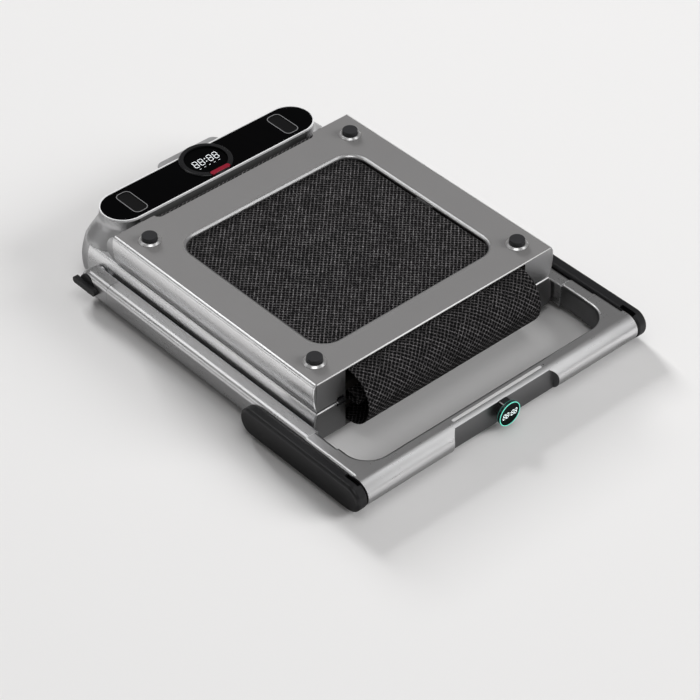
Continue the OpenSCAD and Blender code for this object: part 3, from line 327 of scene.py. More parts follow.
@dataclass(frozen=True)
class LitRing:
    """Smoked ring whose front and back rims glow."""

    name: str
    color: Color
    back: float
    front: float
    smoke: Color = (0.006, 0.02, 0.018)
    rim: float = 0.85 * MM
    back_share: float = 0.2
    strength: float = 1.0

    def build(self) -> bpy.types.Material:
        """Builds the finish.

        Returns:
            The finished material.
        """
        g = Graph(self.name)
        depth = g.add("SeparateXYZ", {0: g.place(Pattern.OBJECT)}).outputs[0]
        near = g.sum("GREATER_THAN", depth, self.front - self.rim)
        far = g.sum("MULTIPLY", g.sum("LESS_THAN", depth, self.back + self.rim), self.back_share)
        lit = g.sum("MAXIMUM", near, far)
        haze = g.noise(g.place(Pattern.OBJECT), 300.0, 2.0)
        tint = g.sum("MULTIPLY", lit, g.span(haze, (0.2, 0.8), (0.8, 1.0)))
        g.set(
            Base_Color=g.blend(tint, self.smoke, self.color),
            Emission_Color=self.color,
            Emission_Strength=g.sum("MULTIPLY", tint, self.strength),
            Roughness=0.2,
        )
        return g.material


@dataclass(frozen=True)
class DiamondBelt:
    """Woven running belt with a lattice of raised threads along both diagonals."""

    name: str
    dark: Color = (0.003, 0.003, 0.0032)
    light: Color = (0.47, 0.45, 0.457)
    pitch: float = 6.6 * MM
    relief: float = 0.6 * MM
    cross_share: float = 0.85
    under_share: float = 0.45
    thread: Pair = (0.3, 0.46)
    wander: Pair = (-0.28, 0.28)
    thread_tone: Pair = (0.4, 1.2)
    thread_change: float = 0.22
    thread_seed: float = 5.37

    def ridge(self, g: Graph, along: Socket, across: Socket, drift: Socket) -> Socket:
        """Gives a ridge of 1 at each whole pitch along a direction.

        Args:
            g: The material's nodes.
            along: The distance in pitches.
            across: The distance in pitches along the ridges.
            drift: A small shift that keeps the threads from running dead straight.

        Returns:
            The ridge's height from 0 to 1.
        """
        wave = g.sum("PINGPONG", g.sum("ADD", along, drift), 0.5)
        return g.sum("MULTIPLY", g.span(wave, self.thread, (0.0, 1.0)), self.strand(g, along, across))

    def dashed(self, g: Graph, threads: Socket, crossing: Socket) -> Socket:
        """Lifts threads where they pass over the crossing ones."""
        return g.sum("MULTIPLY", threads, g.span(crossing, (0.0, 1.0), (self.under_share, 1.0)))

    def strand(self, g: Graph, along: Socket, across: Socket) -> Socket:
        """Gives each thread a brightness of its own that changes slowly along it.

        Args:
            g: The material's nodes.
            along: The distance in pitches, across the threads.
            across: The distance in pitches, along the threads.

        Returns:
            The brightness.
        """
        number = g.sum("MULTIPLY", g.sum("FLOOR", along), self.thread_seed)
        where = g.add("CombineXYZ", {0: number, 1: g.sum("MULTIPLY", across, self.thread_change)}).outputs[0]
        return g.span(g.noise(where, 1.0, 2.0), (0.35, 0.65), self.thread_tone)

    def build(self) -> bpy.types.Material:
        """Builds the finish.

        Returns:
            The finished material.
        """
        g = Graph(self.name)
        k = 1 / (self.pitch * math.sqrt(2))
        flat = g.place(Pattern.UV)
        split = g.add("SeparateXYZ", {0: flat})
        a, b = split.outputs[0], split.outputs[1]
        drift = g.span(g.noise(flat, 260.0, 2.0), (0.0, 1.0), self.wander)
        down = g.sum("MULTIPLY", g.sum("ADD", a, b), k)
        over = g.sum("MULTIPLY", g.sum("SUBTRACT", a, b), k)
        first = self.ridge(g, down, over, drift)
        second = self.ridge(g, over, down, drift)
        lattice = g.sum("MAXIMUM", self.dashed(g, first, second),
                        g.sum("MULTIPLY", self.dashed(g, second, first), self.cross_share))
        yarn = g.noise(flat, 1100.0, 3.0)
        broken = g.span(g.noise(flat, 420.0, 2.0), (0.4, 0.62), (0.15, 1.0))
        height = g.sum("MULTIPLY", lattice, g.span(yarn, (0.25, 0.75), (0.6, 1.0)))
        g.set(
            Base_Color=g.blend(g.sum("MULTIPLY", height, broken), self.dark, self.light),
            Roughness=g.span(height, (0.0, 1.0), (0.75, 0.5)),
            Specular_IOR_Level=g.span(height, (0.0, 1.0), (0.06, 0.2)),
            Normal=g.relief(height, self.relief),
        )
        return g.material


@dataclass(frozen=True)
class Plywood:
    """Running board: ply laminated and stained black, with the plies faint at its edges."""

    name: str
    dark: Color = (0.012, 0.01, 0.009)
    light: Color = (0.035, 0.029, 0.024)

    def build(self) -> bpy.types.Material:
        """Builds the finish.

        Returns:
            The finished material.
        """
        g = Graph(self.name)
        plies = g.noise(g.place(Pattern.OBJECT, (2, 2, 700)), 1.0, 1.0)
        grain = g.noise(g.place(Pattern.OBJECT, (12, 220, 220)), 2.0, 4.0)
        wood = g.blend(g.sum("MULTIPLY", plies, g.sum("ADD", grain, 0.5)), self.dark, self.light)
        g.set(Base_Color=wood, Roughness=0.6, Normal=g.relief(grain, 0.05 * MM))
        return g.material


# Meshes


def new_piece(name: str, mesh: bmesh.types.BMesh, body: str,
              material: bpy.types.Material) -> bpy.types.Object:
    """Turns a finished bmesh into a smooth piece that rides on a body.

    Args:
        name: The piece's name.
        mesh: Its geometry, in the CAD model's frame. It is freed.
        body: The CAD body that it moves with, or nothing to leave it unattached.
        material: Its finish.

    Returns:
        The new object.
    """
    data = bpy.data.meshes.new(name)
    mesh.to_mesh(data)
    mesh.free()
    piece = bpy.data.objects.new(name, data)
    bpy.context.scene.collection.objects.link(piece)
    data.materials.append(material)
    data.shade_smooth()
    data.set_sharp_from_angle(angle=math.radians(SHARP))
    weighted = piece.modifiers.new("weighted_normals", "WEIGHTED_NORMAL")
    weighted.keep_sharp = True
    weighted.weight = FACE_WEIGHT
    if body:
        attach(piece, body)
    LOG.info("piece %s on %s: %d faces", name, body or "two bodies", len(data.polygons))
    return piece


def node_copy(node: str) -> bmesh.types.BMesh:
    """Gives a copy of a CAD node's triangles, with its doubled points merged.

    Args:
        node: The node's name.

    Returns:
        The mesh to work on.
    """
    mesh = bmesh.new()
    mesh.from_mesh(frame["nodes"][node].data)
    bmesh.ops.remove_doubles(mesh, verts=mesh.verts, dist=MERGE)
    bmesh.ops.dissolve_degenerate(mesh, edges=mesh.edges, dist=MERGE)
    return mesh


def add_block(mesh: bmesh.types.BMesh, size: Sequence[float], place: Sequence[float]) -> None:
    """Adds a small block.

    Args:
        mesh: The mesh that takes it.
        size: Its length along each axis.
        place: Its centre.
    """
    made = bmesh.ops.create_cube(mesh, size=1.0)["verts"]
    bmesh.ops.scale(mesh, vec=size, verts=made)
    bmesh.ops.translate(mesh, vec=place, verts=made)


def chamfer_edges(mesh: bmesh.types.BMesh, edges: List[bmesh.types.BMEdge], width: float, segments: int,
                  clamp: bool = True) -> None:
    """Bevels some edges of a mesh.

    Args:
        mesh: The mesh.
        edges: The edges.
        width: The bevel's width.
        segments: Faces across it.
        clamp: Whether it stops where two bevels would meet.
    """
    bmesh.ops.bevel(mesh, geom=edges, offset=width, offset_type="OFFSET", segments=segments, profile=0.5,
                    affect="EDGES", clamp_overlap=clamp, material=-1)


def join_flats(mesh: bmesh.types.BMesh) -> None:
    """Joins the triangles of each flat face."""
    bmesh.ops.dissolve_limit(mesh, angle_limit=math.radians(FLAT), verts=mesh.verts, edges=mesh.edges)


def ease_edges(mesh: bmesh.types.BMesh, width: float, segments: int = 2, angle: float = 40.0,
               keep: Optional[Callable[[bmesh.types.BMEdge], bool]] = None) -> None:
    """Rounds the sharp edges of a mesh.

    Args:
        mesh: The mesh.
        width: The rounding's width.
        segments: Faces across the rounding.
        angle: Edges sharper than this many degrees are rounded.
        keep: Says which of them count, or None for all.
    """
    join_flats(mesh)
    sharp = [e for e in mesh.edges if len(e.link_faces) == 2 and e.calc_face_angle(0.0) > math.radians(angle)
             and (keep is None or keep(e))]
    chamfer_edges(mesh, sharp, width, segments)


@dataclass
class Dresser:
    """Gives CAD nodes their finishes, as they are or as copies with eased edges."""

    body_of: Dict[str, str] = field(default_factory=dict)
    slot_of: Dict[str, str] = field(default_factory=dict)

    def __post_init__(self) -> None:
        """Reads each node's body and slot from the record."""
        record = frame["record"]
        for body, nodes in record["behaviour"]["bodies"].items():
            for node in nodes:
                self.body_of[node] = body
        for part in record["subparts"]:
            self.slot_of[part["node"]] = part["material_slot"]

    def paint(self, material: bpy.types.Material, *nodes: str) -> None:
        """Puts a finish on CAD nodes that keep their own shape.

        Args:
            material: The finish.
            *nodes: The nodes.
        """
        for node in nodes:
            data = frame["nodes"][node].data
            data.materials.clear()
            data.materials.append(material)
            LOG.info("node %s painted with %s", node, material.name)

    def accent(self, piece: bpy.types.Object, material: bpy.types.Material, covers: FaceTest) -> None:
        """Gives some faces of a piece a finish of their own.

        Args:
            piece: The piece.
            material: The finish.
            covers: Says from a face's centre and normal whether it takes the finish.
        """
        data = piece.data
        data.materials.append(material)
        place = len(data.materials) - 1
        chosen = [face for face in data.polygons if covers(face.center, face.normal)]
        for face in chosen:
            face.material_index = place
        LOG.info("piece %s: %d faces take %s", piece.name, len(chosen), material.name)

    def ease(self, material: bpy.types.Material, width: float, *nodes: str, segments: int = 2,
             angle: float = 40.0,
             before: Optional[Callable[[bmesh.types.BMesh], None]] = None) -> List[bpy.types.Object]:
        """Replaces CAD nodes by copies with rounded edges.

        Args:
            material: The finish.
            width: The rounding's width.
            *nodes: The nodes.
            segments: Faces across the rounding.
            angle: Edges sharper than this many degrees are rounded.
            before: Work done on each copy before its edges are rounded.

        Returns:
            The new pieces.
        """
        made = []
        for node in nodes:
            mesh = node_copy(node)
            if before is not None:
                before(mesh)
            if width > 0:
                ease_edges(mesh, width, segments, angle)
            piece = new_piece(node + "_skin", mesh, self.body_of[node], material)
            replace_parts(piece, node)
            made.append(piece)
        return made


# The machine's sub-assemblies


@dataclass
class WalkingBelt:
    """The belt: a half round each roller, and two loops over the fold."""

    material: bpy.types.Material
    width: float = 400 * MM
    thickness: float = 1.7 * MM
    run_drop: float = 6 * MM
    return_drop: float = 54 * MM
    roller_axis: float = 30 * MM
    half_low: float = 74 * MM
    half_up: float = 77 * MM
    fold_outer: float = 50 * MM
    fold_inner: float = 26 * MM
    x_fold: float = 247 * MM
    loop_steps: int = 48
    roller_steps: int = 24
    slot: str = "belt_black"

    def strip(self, start: Vector, spins: Callable[[bmesh.types.BMesh, bmesh.types.BMVert], None],
              param: Callable[[Vector], float]) -> bmesh.types.BMesh:
        """Sweeps a profile over the belt's width and gives it its thickness and its UV map.

        Args:
            start: The profile's first point.
            spins: Draws the rest of the profile from the first vertex.
            param: Gives the length along the belt at a point.

        Returns:
            The finished strip.
        """
        mesh = bmesh.new()
        first = mesh.verts.new(start)
        spins(mesh, first)
        bmesh.ops.translate(mesh, verts=mesh.verts, vec=(0, -self.width / 2, 0))
        swept = bmesh.ops.extrude_edge_only(mesh, edges=mesh.edges)
        moved = [v for v in swept["geom"] if isinstance(v, bmesh.types.BMVert)]
        bmesh.ops.translate(mesh, verts=moved, vec=(0, self.width, 0))
        bmesh.ops.recalc_face_normals(mesh, faces=mesh.faces)
        bmesh.ops.solidify(mesh, geom=mesh.faces[:], thickness=self.thickness)
        bmesh.ops.recalc_face_normals(mesh, faces=mesh.faces)
        chart = mesh.loops.layers.uv.new("belt_length")
        for face in mesh.faces:
            for corner in face.loops:
                corner[chart].uv = (param(corner.vert.co), corner.vert.co.y)
        return mesh

    def loop(self, node: str, bulge: float, half: float) -> None:
        """Builds one loop over the fold.

        Args:
            node: The CAD node that it replaces.
            bulge: How far it stands out past the cut ends.
            half: Half of its height.
        """
        centre = Vector((self.x_fold, 0, (self.half_low + self.half_up) / 2))
        mean = (bulge + half) / 2

        def draw(mesh: bmesh.types.BMesh, first: bmesh.types.BMVert) -> None:
            """Spins a half circle about the fold's line and stretches it to an oval.

            Args:
                mesh: The mesh that takes it.
                first: The point that it starts from.
            """
            bmesh.ops.spin(mesh, geom=[first], cent=centre, axis=(0, -1, 0), angle=math.pi,
                           steps=self.loop_steps, use_duplicate=False)
            bmesh.ops.scale(mesh, vec=(bulge / half, 1, 1), space=Matrix.Translation(-centre), verts=mesh.verts)

        def along(point: Vector) -> float:
            """Gives the length along the oval from its foot."""
            return mean * math.atan2(point.z - centre.z, max(0.0, point.x - centre.x) * half / bulge)

        foot, head = centre - Vector((0, 0, half)), centre + Vector((0, 0, half))
        piece = new_piece(node + "_skin", self.strip(foot, draw, along), "", self.material)
        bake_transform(piece)
        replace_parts(piece, node)

    def half_belt(self, node: str, body: str, level: float) -> None:
        """Builds the belt of one deck half: two straight runs and the wrap round its roller.

        Args:
            node: The CAD node that it replaces.
            body: The deck half's body.
            level: The height of the roller's axis.
        """
        radius = (self.return_drop - self.run_drop) / 2
        centre = Vector((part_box(node)[0].x + radius, 0, level))
        turn = math.pi * radius

        def draw(mesh: bmesh.types.BMesh, first: bmesh.types.BMVert) -> None:
            """Runs straight to the roller, round it, and straight back to the fold.

            Args:
                mesh: The mesh that takes it.
                first: The point that it starts from.
            """
            reach = self.x_fold - centre.x
            straight = bmesh.ops.extrude_vert_indiv(mesh, verts=[first])["verts"]
            bmesh.ops.translate(mesh, verts=straight, vec=(-reach, 0, 0))
            bmesh.ops.spin(mesh, geom=straight, cent=centre, axis=(0, -1, 0), angle=-math.pi,
                           steps=self.roller_steps, use_duplicate=False)
            last = max(mesh.verts, key=lambda v: (round(v.co.z, 5), -abs(v.co.x - centre.x)))
            back = bmesh.ops.extrude_vert_indiv(mesh, verts=[last])["verts"]
            bmesh.ops.translate(mesh, verts=back, vec=(reach, 0, 0))

        def along(point: Vector) -> float:
            """Gives the length along the half from the fold's lower run."""
            if point.x >= centre.x:
                return self.x_fold - point.x if point.z < centre.z else -(self.x_fold - point.x) - turn
            return self.x_fold - centre.x + radius * math.atan2(centre.x - point.x, centre.z - point.z)

        mesh = self.strip(Vector((self.x_fold, 0, centre.z - radius)), draw, along)
        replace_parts(new_piece(node + "_skin", mesh, body, self.material), node)

    def build(self) -> None:
        """Builds the whole belt."""
        self.half_belt("belt_front", "front_deck", self.half_low - self.roller_axis)
        self.half_belt("belt_rear", "rear_deck", self.half_up + self.roller_axis)
        gap = (self.half_up - self.half_low) / 2
        self.loop("belt_fold_outer", self.fold_outer, gap + self.return_drop)
        self.loop("belt_fold_inner", self.fold_inner, gap + self.run_drop + self.thickness)


@dataclass
class Readout:
    """Seven-segment digits, drawn as thin raised bars on a display's cover.

    The sizes after the lift are shares of a digit's height.
    """

    origin: Vector
    up: Vector
    height: float
    body: str
    material: bpy.types.Material
    name: str
    dashes: int = 0
    slot: str = "glass_dark"
    right: Vector = field(default_factory=lambda: Vector((0, 1, 0)))
    slant: float = 0.18
    lift: float = 0.15 * MM
    stroke: float = 0.062
    bar_length: float = 0.34
    half_width: float = 0.21
    half_height: float = 0.44
    step: float = 0.66
    dot: float = 0.11
    dash: Pair = (0.2, 0.035)
    dash_step: float = 0.55
    dash_place: Pair = (-0.12, -0.78)

    def mark(self, mesh: bmesh.types.BMesh, size: Pair, place: Pair) -> None:
        """Adds one flat mark, in shares of the height to the right and up."""
        thick = 2 * self.lift / self.height
        add_block(mesh, Vector((*size, thick)) * self.height, Vector((*place, 0)) * self.height)

    def build(self, text: str) -> bpy.types.Object:
        """Builds a line of digits, with a colon where the text has one.

        Args:
            text: Digits 8 and colons.

        Returns:
            The piece.
        """
        mesh = bmesh.new()
        x = -self.step * (len(text.replace(":", "")) + 0.5 * text.count(":") - 1) / 2
        for sign in text:
            if sign == ":":
                for y in (-self.half_width, self.half_width):
                    self.mark(mesh, (self.dot, self.dot), (x - self.step * 0.25 + self.slant * y, y))
                x += self.step * 0.5
                continue
            for part in Segment:
                across, rise, flat = part.value
                size = (self.bar_length, self.stroke) if flat else (self.stroke, self.bar_length)
                y = rise * self.half_height
                self.mark(mesh, size, (x + across * self.half_width + self.slant * y, y))
            x += self.step
        for number in range(self.dashes):
            across = (number - (self.dashes - 1) / 2) * self.dash_step + self.dash_place[0]
            self.mark(mesh, self.dash, (across, self.dash_place[1]))
        turn = Matrix((self.right, self.up, self.right.cross(self.up))).transposed().to_4x4()
        bmesh.ops.transform(mesh, matrix=Matrix.Translation(self.origin) @ turn, verts=mesh.verts)
        return new_piece(self.name, mesh, self.body, self.material)


@dataclass
class PadOutline:
    """Thin bright lines round the two soft pads of the console."""

    material: bpy.types.Material
    pad_width: float = 27 * MM
    corner: float = 9 * MM
    gap: float = 0.4 * MM
    line: float = 1.7 * MM
    rise: float = 0.2 * MM
    steps: int = 28

    def rounded(self, mesh: bmesh.types.BMesh, middle: Vector, span: Vector,
                radius: float) -> List[bmesh.types.BMEdge]:
        """Adds the outline of a rounded rectangle.

        Args:
            mesh: The mesh that takes it.
            middle: Its centre.
            span: Half of its length and width.
            radius: Its corners' radius.

        Returns:
            Its edges.
        """
        turn = Matrix.Rotation(math.pi / self.steps, 4, "Z")
        made = bmesh.ops.create_circle(mesh, cap_ends=False, radius=radius, segments=self.steps,
                                       matrix=turn)["verts"]
        for x in (-1, 1):
            for y in (-1, 1):
                corner = [v for v in made if v.co.x * x > 0 and v.co.y * y > 0]
                bmesh.ops.translate(mesh, vec=(x * (span.x - radius), y * (span.y - radius), 0), verts=corner)
        bmesh.ops.translate(mesh, vec=middle, verts=made)
        return list({e for v in made for e in v.link_edges})

    def build(self) -> bpy.types.Object:
        """Builds both lines as one piece on the panel's face.

        Returns:
            The piece.
        """
        low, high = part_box("console_pads")
        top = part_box("console_panel")[1].z
        mesh = bmesh.new()
        for side in (-1, 1):
            middle = Vector(((low.x + high.x) / 2, side * (high.y - self.pad_width / 2), top - self.rise))
            loops = []
            for grow in (self.gap, self.gap + self.line):
                span = Vector((high.x - low.x, self.pad_width, 0)) / 2 + Vector((grow, grow, 0))
                loops += self.rounded(mesh, middle, span, self.corner + grow)
            bmesh.ops.bridge_loops(mesh, edges=loops)
        rim = bmesh.ops.extrude_face_region(mesh, geom=mesh.faces[:], use_keep_orig=True)
        raised = [v for v in rim["geom"] if isinstance(v, bmesh.types.BMVert)]
        bmesh.ops.translate(mesh, vec=(0, 0, 2 * self.rise), verts=raised)
        bmesh.ops.recalc_face_normals(mesh, faces=mesh.faces)
        return new_piece("pad_outlines", mesh, "front_deck", self.material)


@dataclass
class DisplayArm:
    """Two bright strips along the arm that carries the handrail's display."""

    material: bpy.types.Material
    half_width: float = 8 * MM
    thick: float = 2.2 * MM
    rounding: float = 0.25
    recess: float = 13 * MM

    def build(self) -> bpy.types.Object:
        """Builds both strips as one piece on the arm's upper edges.

        Returns:
            The piece.
        """
        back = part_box("bail")[1].x - self.recess
        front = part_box("pod_ring")[0].x
        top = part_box("pod_body")[1].z
        mesh = bmesh.new()
        for side in (-1, 1):
            place = ((front + back) / 2, side * self.half_width, top - self.thick)
            add_block(mesh, (front - back, self.thick, self.thick), place)
        chamfer_edges(mesh, mesh.edges[:], self.thick * self.rounding, 2)
        return new_piece("display_arm_strips", mesh, "handrail", self.material)


@dataclass
class Studio:
    """Floor, lamps, world and the camera of the photograph."""

    eye: Vector = field(default_factory=lambda: Vector((2.74814, -2.44353, 3.04289)))
    right: Vector = field(default_factory=lambda: Vector((0.66809, 0.74408, 0.0)))
    up: Vector = field(default_factory=lambda: Vector((-0.48314, 0.43380, 0.76053)))
    back: Vector = field(default_factory=lambda: Vector((0.56589, -0.50810, 0.64931)))
    lens: float = 138.85
    sensor: float = 36.0
    aim: Vector = field(default_factory=lambda: Vector((0, 0, 0.06)))
    floor_size: float = 14.0
    floor_seen: float = 0.85
    floor_lit: float = 0.4
    floor_mirrored: Pair = (0.1, 0.95)
    # The floor's mirrored colour is painted dark round the machine as contact shade.
    painted_shade_middle: float = -0.1
    painted_shade_x: Pair = (0.542, 0.562)
    painted_shade_y: Pair = (0.355, 0.4)
    room_light: float = 0.2
    beyond_floor: float = 0.65

    def camera(self) -> None:
        """Sets the camera up as it stood for the photograph."""
        data = bpy.data.cameras.new("photo_camera")
        data.sensor_width = self.sensor
        data.lens = self.lens
        data.clip_end = 100.0
        camera = bpy.data.objects.new("photo_camera", data)
        bpy.context.scene.collection.objects.link(camera)
        turn = Matrix((self.right, self.up, self.back)).transposed().to_4x4()
        camera.matrix_world = Matrix.Translation(self.eye) @ turn
        bpy.context.scene.camera = camera

    def lamp(self, name: str, at: Sequence[float], size: Pair, power: float, use: Use,
             along: Sequence[float] = (0, 0, 1)) -> None:
        """Adds a soft rectangular lamp that points at the machine.

        Args:
            name: Its name.
            at: Where it hangs.
            size: Its width and height.
            power: Its power in watts.
            use: Whether it lights matt surfaces or shows in metal.
            along: Where its height points.
        """
        data = bpy.data.lights.new(name, "AREA")
        data.shape = "RECTANGLE"
        data.size, data.size_y = size
        data.energy = power
        lamp = bpy.data.objects.new(name, data)
        bpy.context.scene.collection.objects.link(lamp)
        lamp.location = at
        lamp.visible_diffuse, lamp.visible_glossy = use.value
        out = (Vector(at) - self.aim).normalized()
        high = (Vector(along) - out.dot(Vector(along)) * out).normalized()
        lamp.rotation_euler = Matrix((high.cross(out), high, out)).transposed().to_euler()

    def floor(self) -> None:
        """Lays the pale floor, which looks brighter to the camera than it lights the object.

        Metal mirrors it dark close to the machine, where contact shadow is painted into its mirrored colour, and
        pale beyond.
        """
        mesh = bmesh.new()
        bmesh.ops.create_grid(mesh, x_segments=1, y_segments=1, size=self.floor_size / 2)
        data = bpy.data.meshes.new("floor")
        mesh.to_mesh(data)
        mesh.free()
        floor = bpy.data.objects.new("floor", data)
        bpy.context.scene.collection.objects.link(floor)
        g = Graph("pale_floor")
        path = g.add("LightPath")
        seen = g.sum("MAXIMUM", path.outputs["Is Camera Ray"], path.outputs["Is Transmission Ray"])
        split = g.add("SeparateXYZ", {0: g.place(Pattern.OBJECT)})
        centred = g.sum("SUBTRACT", split.outputs[0], self.painted_shade_middle)
        across = g.span(g.sum("ABSOLUTE", centred), self.painted_shade_x, (0.0, 1.0))
        along = g.span(g.sum("ABSOLUTE", split.outputs[1]), self.painted_shade_y, (0.0, 1.0))
        clear = g.sum("MAXIMUM", across, along)
        far = g.span(clear, (0.0, 1.0), self.floor_mirrored)
        mirrored = g.sum("MULTIPLY", path.outputs["Is Glossy Ray"], far)
        shown = g.sum("ADD", g.sum("MULTIPLY", seen, self.floor_seen), mirrored)
        level = g.sum("MAXIMUM", shown, self.floor_lit)
        g.set(
            Base_Color=g.blend(level, (0.0, 0.0, 0.0), (1.0, 0.993, 0.99)),
            Roughness=0.9,
            Specular_IOR_Level=0.1,
        )
        data.materials.append(g.material)

    def world(self) -> None:
        """Fills the room with a soft gray light, and shows pale beyond the floor."""
        world = bpy.data.worlds.new("studio")
        world.use_nodes = True
        tree = world.node_tree
        sky = tree.nodes["Background"]
        sky.inputs["Color"].default_value = (1.0, 0.99, 0.985, 1)
        level = tree.nodes.new("ShaderNodeMath")
        level.operation = "MULTIPLY_ADD"
        level.inputs[1].default_value = self.beyond_floor - self.room_light
        level.inputs[2].default_value = self.room_light
        path = tree.nodes.new("ShaderNodeLightPath")
        tree.links.new(path.outputs["Is Camera Ray"], level.inputs[0])
        tree.links.new(level.outputs[0], sky.inputs["Strength"])
        bpy.context.scene.world = world

    def build(self) -> None:
        """Sets the whole studio up."""
        self.camera()
        self.floor()
        self.world()
        self.lamp("back_softbox", (-15.9, 4.65, 7.5), (4.2, 4.2), 2900.0, Use.LIGHT)
        self.lamp("front_softbox", (9.6, 8.9, 6.8), (6.5, 6.5), 1330.0, Use.LIGHT)
        self.lamp("top_softbox", (0.4, 0.2, 4.5), (3.6, 3.6), 43.0, Use.LIGHT)
        self.lamp("side_card", (-1.71, -0.35, 2.48), (1.0, 1.7), 9.0, Use.CARD, (0, -1, 0))
        self.lamp("low_card", (-1.65, -2.3, 1.1), (0.9, 0.8), 3.0, Use.CARD)
        self.lamp("front_card", (1.6, 1.45, 1.9), (0.9, 4.6), 13.0, Use.CARD, (0.74, 0, -0.67))
        self.lamp("eye_card", (1.26, -1.13, 2.04), (1.4, 1.4), 10.5, Use.CARD)
        bpy.context.scene.view_settings.view_transform = "Standard"


